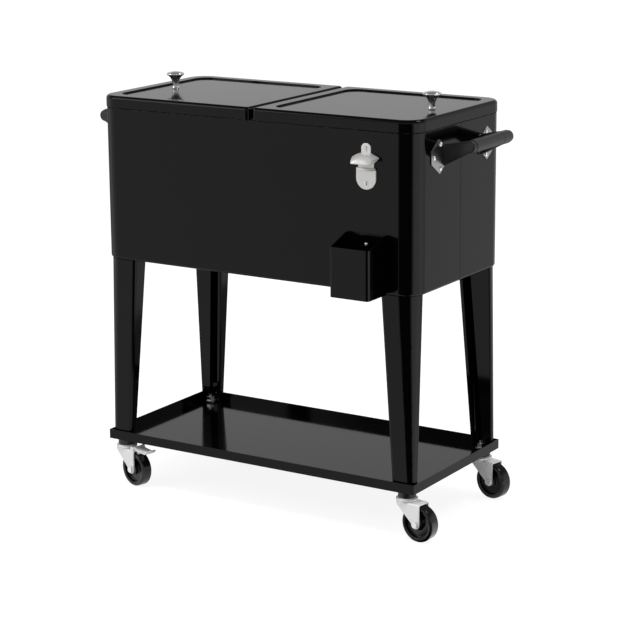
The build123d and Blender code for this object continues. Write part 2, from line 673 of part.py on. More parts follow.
def make_knob():
    """Turned mushroom knob on the sunken panel."""
    lip = KNOB_HEAD / 2 - KNOB_LIP_ROUND
    neck = KNOB_NECK / 2
    foot = KNOB_FOOT / 2
    edge_z = KNOB_HEIGHT - KNOB_DOME
    under_z = edge_z - 2 * KNOB_LIP_ROUND
    dome = (lip ** 2 + KNOB_DOME ** 2) / (2 * KNOB_DOME)
    dome_turn = math.asin(lip / dome) / 2
    dome_middle = (dome * math.sin(dome_turn), KNOB_HEIGHT - dome + dome * math.cos(dome_turn))
    flare_z = KNOB_WAIST + (under_z - KNOB_WAIST) * (1 - KNOB_FLARE)
    flare_middle = (neck + (lip - neck) * KNOB_FLARE, flare_z)
    lip_middle = (lip + KNOB_LIP_ROUND, (edge_z + under_z) / 2)
    outline = Curve() + [
        Line((0, 0), (foot, 0)),
        Line((foot, 0), (foot, KNOB_FOOT_HEIGHT)),
        RadiusArc((foot, KNOB_FOOT_HEIGHT), (neck, KNOB_WAIST), 2 * KNOB_WAIST),
        ThreePointArc((neck, KNOB_WAIST), flare_middle, (lip, under_z)),
        ThreePointArc((lip, under_z), lip_middle, (lip, edge_z)),
        ThreePointArc((lip, edge_z), dome_middle, (0, KNOB_HEIGHT)),
        Line((0, KNOB_HEIGHT), (0, 0)),
    ]
    knob = revolve(Plane.XZ * make_face(outline), Axis.Z)
    knob -= rod(KNOB_SCREW / 2 + FIT, KNOB_SCREW_GRIP, (0, 0, 0))
    return Pos(KNOB_X, 0, RECESS_Z) * knob


def make_knob_screw():
    """Screw from under the skin into the knob."""
    screw = rod(KNOB_SCREW / 2, LID_SHEET + KNOB_SCREW_GRIP - CLEAR, (KNOB_X, 0, SKIN_Z))
    head_z = SKIN_Z - KNOB_SCREW_HEAD_HEIGHT
    return screw + rod(KNOB_SCREW_HEAD / 2, KNOB_SCREW_HEAD_HEIGHT, (KNOB_X, 0, head_z))


def make_lids():
    """All pieces of both lids; the left lid mirrors the right one."""
    right = {
        "lid_cover": make_lid_cover(),
        "lid_inner_pan": make_lid_pan(),
        "lid_foam": make_lid_foam(),
        "lid_gasket": make_gasket(),
        "lid_hinge_lugs": make_lugs(),
        "lid_knob": make_knob(),
        "lid_knob_screw": make_knob_screw(),
    }
    pieces = {}
    for name, shape in right.items():
        pieces["right_" + name] = shape
        pieces["left_" + name] = mirrored(shape)
    return pieces


# Legs and tray
def leg_section(width, depth, face_y, outer_round, inset, z):
    """Plan section of the front right leg, with its big round at the outside corner."""
    far_x = LEG_X - inset
    near_x = LEG_X - width + inset
    front_y = -face_y + inset
    back_y = -face_y + depth - inset
    corner = min(outer_round, depth - LEG_BACK_BEND - LEG_SHEET)
    outline = Rectangle(far_x - near_x, back_y - front_y)
    outline = Pos((far_x + near_x) / 2, (front_y + back_y) / 2) * outline
    front = outline.vertices().group_by(Axis.Y)[0].sort_by(Axis.X)
    outline = fillet(front[-1], corner - inset)
    front = outline.vertices().group_by(Axis.Y)[0].sort_by(Axis.X)
    outline = fillet(front[0], LEG_BEND - inset)
    back = outline.vertices().group_by(Axis.Y)[-1]
    outline = fillet(back, LEG_BACK_BEND - inset)
    return Pos(0, 0, z) * outline


def leg_loft(inset):
    """Tapered body of the leg, drawn in by a sheet."""
    top = leg_section(LEG_TOP_WIDTH, LEG_TOP_DEPTH, LEG_TOP_Y, LEG_TOP_ROUND, inset, SHELL_Z)
    foot = leg_section(LEG_FOOT_WIDTH, LEG_FOOT_DEPTH, LEG_FOOT_Y, LEG_FOOT_ROUND, inset, TRAY_FLOOR_Z)
    return loft([foot, top], ruled=True)


def make_leg():
    """Front right leg: a folded, tapered channel with a slot, a top plate and a foot plate."""
    tube = leg_loft(0)
    hollow = leg_loft(LEG_SHEET)
    slot_top = LEG_X - LEG_TOP_WIDTH + LEG_BEND
    slot_foot = LEG_X - LEG_FOOT_WIDTH + LEG_BEND
    slot_profile = Polygon((slot_foot, TRAY_FLOOR_Z), (slot_foot + LEG_SLOT, TRAY_FLOOR_Z),
                           (slot_top + LEG_SLOT, SHELL_Z), (slot_top, SHELL_Z), align=None)
    foot_front = -LEG_FOOT_Y + LEG_FOOT_DEPTH / 2
    slot = extrude(Plane.XZ.offset(-foot_front) * slot_profile, -LEG_TOP_DEPTH)
    notch = slab(LEG_NOTCH, LEG_TOP_DEPTH, LEG_NOTCH_HEIGHT,
                 (CASTER_X, foot_front + LEG_TOP_DEPTH / 2, TRAY_FLOOR_Z))
    leg = tube - hollow - slot - notch
    top_plate = tube & slab(2 * LEG_X, 2 * SHELL_Y, LEG_PLATE, (0, 0, SHELL_Z - LEG_PLATE))
    for x, y in leg_bolt_places():
        top_plate -= rod(LEG_BOLT / 2 + HOLE, LEG_PLATE, (x, y, SHELL_Z - LEG_PLATE))
    foot_back = -CASTER_Y + WASHER_DIAMETER / 2 + LEG_SHEET
    foot_plate = tube & slab(2 * LEG_X, 2 * SHELL_Y, LEG_PLATE, (0, 0, TRAY_FLOOR_Z))
    foot_plate += slab(LEG_NOTCH, foot_back - foot_front, LEG_PLATE,
                       (CASTER_X, (foot_back + foot_front) / 2, TRAY_FLOOR_Z))
    leg = leg + top_plate + foot_plate
    return leg - rod(STEM / 2 + HOLE, LEG_PLATE, (CASTER_X, -CASTER_Y, TRAY_FLOOR_Z))


def make_legs():
    """Four legs, mirrored from the front right one."""
    leg = make_leg()
    pieces = {}
    for corner, (sx, sy) in CORNERS.items():
        shape = leg if sx > 0 else mirrored(leg)
        pieces[corner + "_leg"] = shape if sy < 0 else mirror(shape, about=Plane.XZ)
    return pieces


def make_leg_bolts():
    """Bolts from under each leg's top plate into the bottom of the chest."""
    head_z = SHELL_Z - LEG_PLATE - LEG_BOLT_HEAD_HEIGHT
    reach = LEG_PLATE + SHELL_SHEET + PAN_SHEET + LEG_BOLT_END
    bolts = []
    for x, y in leg_bolt_places():
        bolt = rod(LEG_BOLT / 2, reach, (x, y, SHELL_Z - LEG_PLATE))
        hexagon = RegularPolygon(LEG_BOLT_HEAD / 2, 6)
        bolts.append(bolt + Pos(x, y, head_z) * extrude(hexagon, LEG_BOLT_HEAD_HEIGHT))
    return Compound(bolts)


def make_tray():
    """Shallow folded tray with upright lips."""
    tray = slab(TRAY_LENGTH, TRAY_DEPTH, TRAY_HEIGHT, (0, 0, TRAY_Z))
    tray -= slab(TRAY_LENGTH - 2 * TRAY_SHEET, TRAY_DEPTH - 2 * TRAY_SHEET, TRAY_HEIGHT,
                 (0, 0, TRAY_FLOOR_Z))
    for sx, sy in CORNERS.values():
        tray -= rod(STEM / 2 + HOLE, TRAY_SHEET, (sx * CASTER_X, sy * CASTER_Y, TRAY_Z))
    return tray


# Casters
def make_stems():
    """King pins that carry the forks and pass through the tray and the legs' feet."""
    under_crown = CROWN_Z - FORK_SHEET - SWIVEL_GAP
    top_z = TRAY_FLOOR_Z + LEG_PLATE + WASHER_HEIGHT + NUT_HEIGHT + STEM_ABOVE_NUT
    pin = rod(STEM / 2, top_z - under_crown, (0, 0, under_crown))
    pin += rod(STEM_HEAD / 2, STEM_HEAD_HEIGHT, (0, 0, under_crown - STEM_HEAD_HEIGHT))
    return Compound([Pos(sx * CASTER_X, sy * CASTER_Y, 0) * pin for sx, sy in CORNERS.values()])


def make_nuts():
    """Nuts with washers on the king pins, inside the legs' feet."""
    washer_z = TRAY_FLOOR_Z + LEG_PLATE
    nut = rod(WASHER_DIAMETER / 2, WASHER_HEIGHT, (0, 0, washer_z))
    hexagon = RegularPolygon(NUT_ACROSS / 2, 6, major_radius=False)
    nut += Pos(0, 0, washer_z + WASHER_HEIGHT) * extrude(hexagon, NUT_HEIGHT)
    nut -= rod(STEM / 2 + FIT, WASHER_HEIGHT + NUT_HEIGHT, (0, 0, washer_z))
    return Compound([Pos(sx * CASTER_X, sy * CASTER_Y, 0) * nut for sx, sy in CORNERS.values()])


def make_spacers():
    """Dark spacers between the tray and the swivel rings."""
    spacer = rod(SPACER_DIAMETER / 2, SPACER_HEIGHT, (0, 0, SPACER_Z))
    spacer -= rod(STEM / 2 + FIT, SPACER_HEIGHT, (0, 0, SPACER_Z))
    return Compound([Pos(sx * CASTER_X, sy * CASTER_Y, 0) * spacer for sx, sy in CORNERS.values()])


def make_rings():
    """Domed upper races of the swivel bearings."""
    ring = rod(RING_DIAMETER / 2, RING_HEIGHT, (0, 0, RING_Z))
    ring = fillet(top_edges(ring), RING_ROUND)
    ring -= rod(STEM / 2 + FIT, RING_HEIGHT, (0, 0, RING_Z))
    return Compound([Pos(sx * CASTER_X, sy * CASTER_Y, 0) * ring for sx, sy in CORNERS.values()])


def make_fork(braked):
    """Pressed fork that trails along +X, with its king pin hole at the origin."""
    tail = CASTER_TRAIL + FORK_TAIL
    outside = FORK_CHEEK + FORK_SHEET
    length = tail + FORK_NOSE
    middle = (tail - FORK_NOSE) / 2
    cheek = Polygon((-FORK_NOSE, CROWN_Z), (tail, CROWN_Z), (tail, AXLE_Z),
                    (CASTER_TRAIL - FORK_TAIL, AXLE_Z), (-FORK_NOSE, CROWN_Z - FORK_SHOULDER), align=None)
    cheek += Pos(CASTER_TRAIL, AXLE_Z) * Circle(FORK_TAIL)
    block = slab(length, 2 * outside, 2 * FORK_RISE, (middle, 0, CROWN_Z - 2 * FORK_RISE))
    block = fillet(block.faces().sort_by(Axis.Z)[-1].edges().filter_by(Axis.X), FORK_BEND)
    fork = extrude(Plane.XZ * cheek, outside, both=True) & block
    fork -= slab(2 * length, 2 * FORK_CHEEK, CROWN_Z - FORK_SHEET)
    fork += rod(RING_DIAMETER / 2 - RING_STEP, FORK_SHEET, (0, 0, CROWN_Z - FORK_SHEET))
    fork -= rod(STEM / 2 + RUN, FORK_SHEET, (0, 0, CROWN_Z - FORK_SHEET))
    fork -= rod_y(AXLE / 2 + FIT, -outside, outside, CASTER_TRAIL, AXLE_Z)
    return fork + make_pedal_ears() if braked else fork


def make_pedal_ears():
    """Ears on the fork's cheeks that carry the brake pedal's pin."""
    outside = FORK_CHEEK + FORK_SHEET
    ear_x = CASTER_TRAIL + FORK_TAIL - PEDAL_EAR / 2
    height = PEDAL_EAR_RISE + FORK_BEND
    ears = slab(PEDAL_EAR, 2 * outside, height, (ear_x, 0, CROWN_Z - FORK_BEND))
    ears = fillet(ears.faces().sort_by(Axis.Z)[-1].edges().filter_by(Axis.Y), PEDAL_EAR / 3)
    ears -= slab(2 * PEDAL_EAR, 2 * FORK_CHEEK, 2 * height, (ear_x, 0, CROWN_Z - FORK_BEND))
    pin_x = CASTER_TRAIL + PEDAL_PIN_BACK
    return ears - rod_y(PEDAL_PIN / 2 + RUN, -outside, outside, pin_x, CROWN_Z + PEDAL_PIN_RISE)


def make_axle():
    """Axle bolt with a head and a nut outside the fork."""
    outside = FORK_CHEEK + FORK_SHEET
    axle = rod_y(AXLE / 2, -outside, outside, CASTER_TRAIL, AXLE_Z)
    for side in (-1, 1):
        head_end = side * (outside + AXLE_HEAD_HEIGHT)
        axle += rod_y(AXLE_HEAD / 2, side * outside, head_end, CASTER_TRAIL, AXLE_Z)
    return axle


def make_wheel():
    """Moulded wheel with a rounded tread, a thin web and a hub."""
    radius = WHEEL_DIAMETER / 2
    rim = radius - WHEEL_RIM
    wheel = Cylinder(radius, WHEEL_WIDTH)
    wheel = fillet(wheel.edges().filter_by(GeomType.CIRCLE), WHEEL_ROUND)
    dish = (WHEEL_WIDTH - WHEEL_WEB) / 2
    for side in (-1, 1):
        wheel -= Pos(0, 0, side * (WHEEL_WEB + dish) / 2) * Cylinder(rim, dish)
    hub_width = 2 * (FORK_CHEEK - HUB_GAP)
    wheel += Cylinder(HUB_DIAMETER / 2, hub_width)
    wheel -= Cylinder(AXLE / 2 + RUN, hub_width)
    return Pos(CASTER_TRAIL, 0, AXLE_Z) * Rot(90, 0, 0) * wheel


def make_pedal():
    """Foot brake lever on a pin over the fork, with a shoe above the tread."""
    outside = FORK_CHEEK + FORK_SHEET
    half = FORK_CHEEK - PEDAL_SIDE_GAP
    skin = PEDAL_SHEET / 2
    pin_x = CASTER_TRAIL + PEDAL_PIN_BACK
    pin_z = CROWN_Z + PEDAL_PIN_RISE
    end_x = pin_x + PEDAL_REACH
    end_z = pin_z - PEDAL_FALL
    lip_x = end_x + PEDAL_LIP
    lip_z = end_z + PEDAL_LIP
    plate = Polygon((pin_x, pin_z - skin), (pin_x, pin_z + skin), (end_x, end_z + skin),
                    (lip_x - skin, lip_z + skin), (lip_x + skin, lip_z - skin),
                    (end_x + skin, end_z - skin), align=None)
    pedal = extrude(Plane.XZ * plate, half, both=True)
    shoe_start = pin_x + SHOE_START
    shoe_end = shoe_start + SHOE_LENGTH
    shoe_top = pin_z - PEDAL_FALL * (SHOE_START + SHOE_LENGTH) / PEDAL_REACH
    shoe = Polygon((shoe_start, AXLE_Z), (shoe_end, AXLE_Z), (shoe_end, shoe_top), (shoe_start, shoe_top),
                   align=None)
    shoe = extrude(Plane.XZ * shoe, SHOE_WIDTH / 2, both=True)
    shoe -= rod_y(WHEEL_DIAMETER / 2 + SHOE_GAP, -outside, outside, CASTER_TRAIL, AXLE_Z)
    pedal += shoe
    pedal += rod_y(PEDAL_SLEEVE / 2, -half, half, pin_x, pin_z)
    return pedal + rod_y(PEDAL_PIN / 2, -outside, outside, pin_x, pin_z)


def make_casters():
    """Fork, axle and wheel of each caster, and the brake pedals, turned as they stand."""
    axle = make_axle()
    wheel = make_wheel()
    pedal = make_pedal()
    pieces = {}
    for corner, (sx, sy) in CORNERS.items():
        place = Pos(sx * CASTER_X, sy * CASTER_Y, 0) * Rot(0, 0, CASTER_TURN[corner])
        braked = corner in BRAKED_CASTERS
        pieces[corner + "_fork"] = place * make_fork(braked)
        pieces[corner + "_axle"] = place * axle
        pieces[corner + "_wheel"] = place * wheel
        if braked:
            pieces[corner + "_brake_pedal"] = place * pedal
    return pieces


# Handles, drawn for the right end about the handle's own middle
def side_plane(x, y, z):
    """Plane that faces +X, with its own x along +Y."""
    return Plane(origin=(x, y, z), x_dir=(0, 1, 0), z_dir=(1, 0, 0))


def make_grip():
    """Straight bar between the two collars of a handle."""
    return rod_y(HANDLE_GRIP / 2, -HANDLE_GRIP_HALF, HANDLE_GRIP_HALF, GRIP_X, GRIP_Z)


def make_arm(end):
    """Moulded arm: a collar on the bar's end, a round end beside it and a tapered foot on the plate."""
    radius = HANDLE_COLLAR / 2
    collar = rod_y(radius, HANDLE_GRIP_HALF, HANDLE_HALF, GRIP_X, GRIP_Z)
    collar = fillet(collar.faces().sort_by(Axis.Y)[-1].edges(), HANDLE_COLLAR_ROUND)
    outer_y = HANDLE_ARM_Y + HANDLE_ARM_WIDTH / 2
    knuckle = rod_y(HANDLE_ARM_HEIGHT / 2, outer_y - HANDLE_ARM_WIDTH, outer_y, GRIP_X, GRIP_Z)
    knuckle = fillet(knuckle.faces().sort_by(Axis.Y)[-1].edges(), HANDLE_ARM_CORNER)
    foot = side_plane(SHELL_X + PLATE_SHEET, HANDLE_ARM_Y, HANDLE_FOOT_Z)
    tip = side_plane(GRIP_X, HANDLE_ARM_Y, GRIP_Z)
    arm = loft([foot * RectangleRounded(HANDLE_ARM_WIDTH, HANDLE_FOOT_HEIGHT, HANDLE_ARM_CORNER),
                tip * RectangleRounded(HANDLE_ARM_WIDTH, HANDLE_ARM_HEIGHT, HANDLE_ARM_CORNER)], ruled=True)
    whole = collar + knuckle + arm
    return whole if end > 0 else mirror(whole, about=Plane.XZ)


def make_plate(sheet, start_x):
    """Pointed plate behind the handle's foot, at the rear end."""
    half = PLATE_HEIGHT / 2
    outline = Polygon((PLATE_PEAK_Y, half), (PLATE_SHOULDER_Y, PLATE_SHOULDER_HEIGHT / 2),
                      (PLATE_INNER_Y, PLATE_INNER_HEIGHT / 2), (PLATE_INNER_Y, -PLATE_INNER_HEIGHT / 2),
                      (PLATE_SHOULDER_Y, -PLATE_SHOULDER_HEIGHT / 2), (PLATE_PEAK_Y, -half),
                      (PLATE_NOSE_Y, -PLATE_NOSE_HEIGHT / 2), (PLATE_NOSE_Y, PLATE_NOSE_HEIGHT / 2),
                      align=None)
    outline = fillet(outline.vertices(), PLATE_CORNER)
    plate = extrude(side_plane(start_x, 0, HANDLE_FOOT_Z) * outline, sheet)
    for y, z in handle_bolt_places():
        plate -= rod_x(HANDLE_BOLT / 2 + HOLE, start_x, start_x + sheet, y, z)
    return plate


def make_handle_bolt():
    """Dome-headed bolt through the plate, the jacket and the backing plate."""
    seat_x = SHELL_X + PLATE_SHEET
    end_x = SHELL_X - SHELL_SHEET - BACKING_SHEET - HANDLE_BOLT_END
    bolt = rod_x(HANDLE_BOLT / 2, end_x, seat_x, 0, 0)
    head = rod_x(HANDLE_BOLT_HEAD / 2, seat_x, seat_x + HANDLE_BOLT_HEAD_HEIGHT, 0, 0)
    head = fillet(head.faces().sort_by(Axis.X)[-1].edges(), HANDLE_BOLT_HEAD_ROUND)
    return bolt + head


def make_handles():
    """Bars, arms, plates and bolts of both handles; the left one is the right one turned half round."""
    plate = make_plate(PLATE_SHEET, SHELL_X)
    backing = make_plate(BACKING_SHEET, SHELL_X - SHELL_SHEET - BACKING_SHEET)
    bolt = make_handle_bolt()
    right = Pos(0, HANDLE_SHIFT, 0)
    left = Rot(0, 0, 180) * right
    grip = make_grip()
    arms = [make_arm(-1), make_arm(1)]
    plates = [plate, mirror(plate, about=Plane.XZ)]
    backings = [backing, mirror(backing, about=Plane.XZ)]
    bolts = [Pos(0, end * y, z) * bolt for end in (-1, 1) for y, z in handle_bolt_places()]
    return {
        "right_handle_grip": right * grip,
        "left_handle_grip": left * grip,
        "right_handle_arms": Compound([right * arm for arm in arms]),
        "left_handle_arms": Compound([left * arm for arm in arms]),
        "handle_plates": Compound([side * one for side in (right, left) for one in plates]),
        "handle_backing_plates": Compound([side * one for side in (right, left) for one in backings]),
        "handle_bolts": Compound([side * one for side in (right, left) for one in bolts]),
    }


# Opener, cap catcher and drain
def opener_lens(wall):
    """Half lens under an arc from one tip of the hood to the other, drawn in by a wall."""
    half = OPENER_HOOD / 2 - wall
    arc = ThreePointArc((-half, 0), (0, OPENER_HOOD_REACH - wall), (half, 0))
    return make_face([arc, Line((half, 0), (-half, 0))])


def make_opener():
    """Cast opener: a plate with a tab and a round end, a pointed hood and a lifting tooth."""
    hood_z = OPENER_TOP_Z - OPENER_HOOD_DROP
    round_z = OPENER_BOTTOM_Z + OPENER_PLATE / 2
    plate = Pos(OPENER_X, (OPENER_TOP_Z + hood_z) / 2) * Rectangle(OPENER_TAB, OPENER_HOOD_DROP)
    plate = fillet(plate.vertices().group_by(Axis.Y)[-1], OPENER_TAB_ROUND)
    plate += Pos(OPENER_X, (hood_z + round_z) / 2) * Rectangle(OPENER_PLATE, hood_z - round_z)
    plate += Pos(OPENER_X, round_z) * Circle(OPENER_PLATE / 2)
    plate += Pos(OPENER_X, hood_z) * opener_lens(0)
    opener = extrude(Plane.XZ.offset(SHELL_Y) * plate, OPENER_SHEET)
    hood = revolve(Plane.XZ * opener_lens(0), Axis.X, 90)
    hood -= revolve(Plane.XZ * opener_lens(OPENER_HOOD_WALL), Axis.X, 90)
    opener += Pos(OPENER_X, -SHELL_Y - OPENER_SHEET, hood_z) * hood
    tooth_y = -SHELL_Y - OPENER_SHEET - OPENER_TOOTH_REACH / 2
    tooth_z = OPENER_TOP_Z - OPENER_TOOTH_DROP - OPENER_TOOTH_HEIGHT
    opener += slab(OPENER_TOOTH, OPENER_TOOTH_REACH, OPENER_TOOTH_HEIGHT, (OPENER_X, tooth_y, tooth_z))
    for z in opener_screw_heights():
        opener -= rod_y(PANEL_SCREW / 2 + HOLE, -SHELL_Y, -SHELL_Y - OPENER_SHEET, OPENER_X, z)
    return opener


def make_catcher():
    """Open bin with sloping side rims and keyholes in its taller back."""
    outline = Pos(OPENER_X, CATCHER_Y - CATCHER_DEPTH / 2) * Rectangle(CATCHER_WIDTH, CATCHER_DEPTH)
    outline = fillet(outline.vertices().group_by(Axis.Y)[0], CATCHER_CORNER)
    block = Pos(0, 0, SHELL_Z) * extrude(outline, CATCHER_REAR_HEIGHT)
    inner = Pos(OPENER_X, CATCHER_Y - CATCHER_DEPTH / 2) * Rectangle(CATCHER_WIDTH - 2 * CATCHER_SHEET,
                                                                    CATCHER_DEPTH - 2 * CATCHER_SHEET)
    inner = fillet(inner.vertices().group_by(Axis.Y)[0], CATCHER_CORNER - CATCHER_SHEET)
    hollow = Pos(0, 0, SHELL_Z + CATCHER_SHEET) * extrude(inner, CATCHER_REAR_HEIGHT)
    rear_z = SHELL_Z + CATCHER_REAR_HEIGHT
    front_z = SHELL_Z + CATCHER_FRONT_HEIGHT
    slope = Polygon((CATCHER_FRONT_Y, rear_z), (CATCHER_Y - CATCHER_RIM_FLAT, rear_z),
                    (CATCHER_FRONT_Y + CATCHER_RIM_FLAT, front_z), (CATCHER_FRONT_Y, front_z), align=None)
    cut = extrude(Plane.YZ.offset(OPENER_X) * slope, CATCHER_WIDTH, both=True)
    catcher = block - hollow - cut
    wall = (CATCHER_Y, CATCHER_Y - CATCHER_SHEET)
    for z in catcher_screw_heights():
        neck = PANEL_SCREW / 2 + CLEAR
        catcher -= rod_y(neck, *wall, OPENER_X, z)
        catcher -= rod_y(PANEL_SCREW_HEAD / 2 + CLEAR, *wall, OPENER_X, z - KEYHOLE_RUN)
        catcher -= slab(2 * neck, CATCHER_SHEET, KEYHOLE_RUN,
                        (OPENER_X, CATCHER_Y - CATCHER_SHEET / 2, z - KEYHOLE_RUN))
    return catcher


def make_panel_screws():
    """Screws that hold the opener and carry the cap catcher."""
    screws = []
    opener_seat = -SHELL_Y - OPENER_SHEET
    catcher_seat = CATCHER_Y - CATCHER_SHEET - CLEAR
    end = -SHELL_Y + SHELL_SHEET + PANEL_SCREW_END
    places = [(z, opener_seat) for z in opener_screw_heights()]
    places += [(z, catcher_seat) for z in catcher_screw_heights()]
    for z, seat in places:
        screw = rod_y(PANEL_SCREW / 2, seat, end, OPENER_X, z)
        head = rod_y(PANEL_SCREW_HEAD / 2, seat - PANEL_SCREW_HEAD_HEIGHT, seat, OPENER_X, z)
        head = fillet(head.faces().sort_by(Axis.Y)[0].edges(), PANEL_SCREW_HEAD_ROUND)
        screws.append(screw + head)
    return Compound(screws)


def make_drain():
    """Drain tube through the left end, with a flange outside and a nut inside."""
    inside_x = -MOUTH_LENGTH / 2 + DRAIN_NUT_HEIGHT
    drain = rod_x(DRAIN_TUBE / 2, -SHELL_X - DRAIN_SPOUT, inside_x, DRAIN_Y, DRAIN_Z)
    drain += rod_x(DRAIN_FLANGE / 2, -SHELL_X - DRAIN_FLANGE_HEIGHT, -SHELL_X, DRAIN_Y, DRAIN_Z)
    drain += rod_x(DRAIN_NUT / 2, -MOUTH_LENGTH / 2, inside_x, DRAIN_Y, DRAIN_Z)
    return drain - rod_x(DRAIN_BORE / 2, -SHELL_X - DRAIN_SPOUT, inside_x, DRAIN_Y, DRAIN_Z)


def make_drain_cap():
    """Fluted cap over the drain's spout."""
    seat_x = -SHELL_X - DRAIN_FLANGE_HEIGHT - CLEAR
    end_x = -SHELL_X - DRAIN_SPOUT - CLEAR
    cap = rod_x(CAP_DIAMETER / 2, seat_x - CAP_LENGTH, seat_x, DRAIN_Y, DRAIN_Z)
    cap = fillet(cap.faces().sort_by(Axis.X)[0].edges(), CAP_WALL / 2)
    cap -= rod_x(DRAIN_TUBE / 2 + CLEAR, end_x, seat_x, DRAIN_Y, DRAIN_Z)
    for count in range(CAP_FLUTES):
        turn = 2 * math.pi * count / CAP_FLUTES
        y = DRAIN_Y + CAP_DIAMETER / 2 * math.cos(turn)
        z = DRAIN_Z + CAP_DIAMETER / 2 * math.sin(turn)
        cap -= rod_x(CAP_FLUTE / 2, seat_x - CAP_LENGTH, seat_x, y, z)
    return cap


def make_parts():
    """Every piece of the cooler by name, about the middle of the chest."""
    pieces = make_shells()
    pieces["bottom_pan"] = make_bottom_pan()
    pieces["insulation_foam"] = make_foam()
    pieces["inner_liner"] = make_liner()
    pieces["hinge_crossbar"] = make_crossbar()
    pieces["crossbar_rivets"] = make_rivets()
    pieces["hinge_ears"] = make_ears()
    pieces["hinge_pins"] = make_hinge_pins()
    pieces.update(make_lids())
    pieces.update(make_legs())
    pieces["leg_bolts"] = make_leg_bolts()
    pieces["storage_tray"] = make_tray()
    pieces["caster_stems"] = make_stems()
    pieces["caster_nuts"] = make_nuts()
    pieces["caster_spacers"] = make_spacers()
    pieces["swivel_rings"] = make_rings()
    pieces.update(make_casters())
    pieces.update(make_handles())
    pieces["bottle_opener"] = make_opener()
    pieces["front_panel_screws"] = make_panel_screws()
    pieces["cap_catcher"] = make_catcher()
    pieces["drain_fitting"] = make_drain()
    pieces["drain_cap"] = make_drain_cap()
    return pieces


def main():
    """Write one STEP file for each piece, with the origin under the middle of the outline."""
    pieces = make_parts()
    everything = Compound([solid for shape in pieces.values() for solid in shape.solids()])
    middle = everything.bounding_box().center()
    os.makedirs("parts", exist_ok=True)
    for name, shape in pieces.items():
        solids = [Pos(-middle.X, -middle.Y, 0) * solid for solid in shape.solids()]
        export_step(solids[0] if len(solids) == 1 else Compound(solids), "parts/" + name + ".step")
    print("moved by", round(-middle.X, 3), round(-middle.Y, 3))


if __name__ == "__main__":
    main()
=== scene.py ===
import json
import logging
import math
from dataclasses import dataclass, field, replace
from enum import Enum
from typing import Optional, Sequence, Union

import bmesh
import bpy
from mathutils import Matrix, Vector

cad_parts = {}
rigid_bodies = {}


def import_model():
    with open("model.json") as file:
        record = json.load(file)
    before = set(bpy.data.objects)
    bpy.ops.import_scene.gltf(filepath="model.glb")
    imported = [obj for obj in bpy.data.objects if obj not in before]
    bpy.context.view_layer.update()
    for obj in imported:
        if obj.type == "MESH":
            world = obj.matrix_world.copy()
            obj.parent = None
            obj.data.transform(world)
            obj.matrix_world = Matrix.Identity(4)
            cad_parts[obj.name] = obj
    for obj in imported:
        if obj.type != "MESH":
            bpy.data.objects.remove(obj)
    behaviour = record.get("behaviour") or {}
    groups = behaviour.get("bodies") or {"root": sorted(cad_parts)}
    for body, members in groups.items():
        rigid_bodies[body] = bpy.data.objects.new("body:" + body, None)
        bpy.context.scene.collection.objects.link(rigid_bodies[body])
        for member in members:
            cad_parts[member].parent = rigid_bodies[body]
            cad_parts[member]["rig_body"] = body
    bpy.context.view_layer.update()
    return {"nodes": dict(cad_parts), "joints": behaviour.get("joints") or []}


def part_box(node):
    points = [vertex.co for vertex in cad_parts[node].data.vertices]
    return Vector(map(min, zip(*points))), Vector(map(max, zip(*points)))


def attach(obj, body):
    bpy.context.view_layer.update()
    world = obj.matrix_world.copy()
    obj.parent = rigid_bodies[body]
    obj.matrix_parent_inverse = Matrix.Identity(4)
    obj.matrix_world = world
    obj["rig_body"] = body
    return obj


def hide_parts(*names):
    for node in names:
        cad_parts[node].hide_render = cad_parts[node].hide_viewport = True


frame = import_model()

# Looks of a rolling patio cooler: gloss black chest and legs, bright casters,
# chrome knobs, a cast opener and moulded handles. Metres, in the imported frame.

MM = 0.001
log = logging.getLogger("patio_cooler")

Socket = bpy.types.NodeSocket
Colour = tuple[float, float, float]
Place = tuple[float, float, float]
Profile = Sequence[tuple[float, float]]
Y_AXIS = 1
Z_AXIS = 2

# Edges sharper than CREASE degrees are rounded or stay crisp, and faces within FLAT degrees are one
CREASE = 34.0
FLAT = 0.5
# Points nearer than WELD are joined, and radii below ON_AXIS lie on the axis of a turned shape
WELD = 0.002 * MM
ON_AXIS = 1e-9
BEVEL_STEPS = 2
STRONGEST_WEIGHT = 100
# An edge lies in a seam's plane within SEAM_REACH, and faces with less of their normal than
# SEAM_TILT along the seam's axis stand across that plane
SEAM_REACH = 0.3 * MM
SEAM_TILT = 0.3
# Noise that makes the patches of a finish, and the part of its range that the gloss follows
PATCH_DETAIL = 4.0
PATCH_ROUGHNESS = 0.55
PATCH_SPAN = (0.3, 0.7)
# Noise of the fine relief: scale along brush marks, and the detail of each grain
BRUSH_STRETCH = 0.06
BRUSHED_DETAIL = 3.0
MOULDED_DETAIL = 6.0
PEEL_DETAIL = 1.5


class Corner(Enum):
    """Where a leg and its caster stand."""

    FRONT_LEFT = "front_left"
    FRONT_RIGHT = "front_right"
    REAR_LEFT = "rear_left"
    REAR_RIGHT = "rear_right"


class Side(Enum):
    """End of the chest."""

    RIGHT = "right"
    LEFT = "left"


class Grain(Enum):
    """Kind of fine relief that a finish carries."""

    PEEL = "peel"
    BRUSHED = "brushed"
    SPANGLE = "spangle"
    MOULDED = "moulded"
    FOAMED = "foamed"


class NodeGraph:
    """A node tree with a short way to add and join nodes."""

    def __init__(self, tree: bpy.types.NodeTree) -> None:
        """Keep the tree that nodes are added to."""
        self.tree = tree

    def add(self, kind: str, values: Optional[dict] = None, **settings: object) -> bpy.types.Node:
        """Add one node.

        Args:
            kind: Blender's name of the node type.
            values: input name or number, with a constant or an output to join to it.
            settings: the node's own properties.

        Returns:
            The new node.
        """
        node = self.tree.nodes.new(kind)
        for name, value in settings.items():
            setattr(node, name, value)
        for key, value in (values or {}).items():
            if isinstance(value, Socket):
                self.tree.links.new(value, node.inputs[key])
            else:
                node.inputs[key].default_value = value
        return node


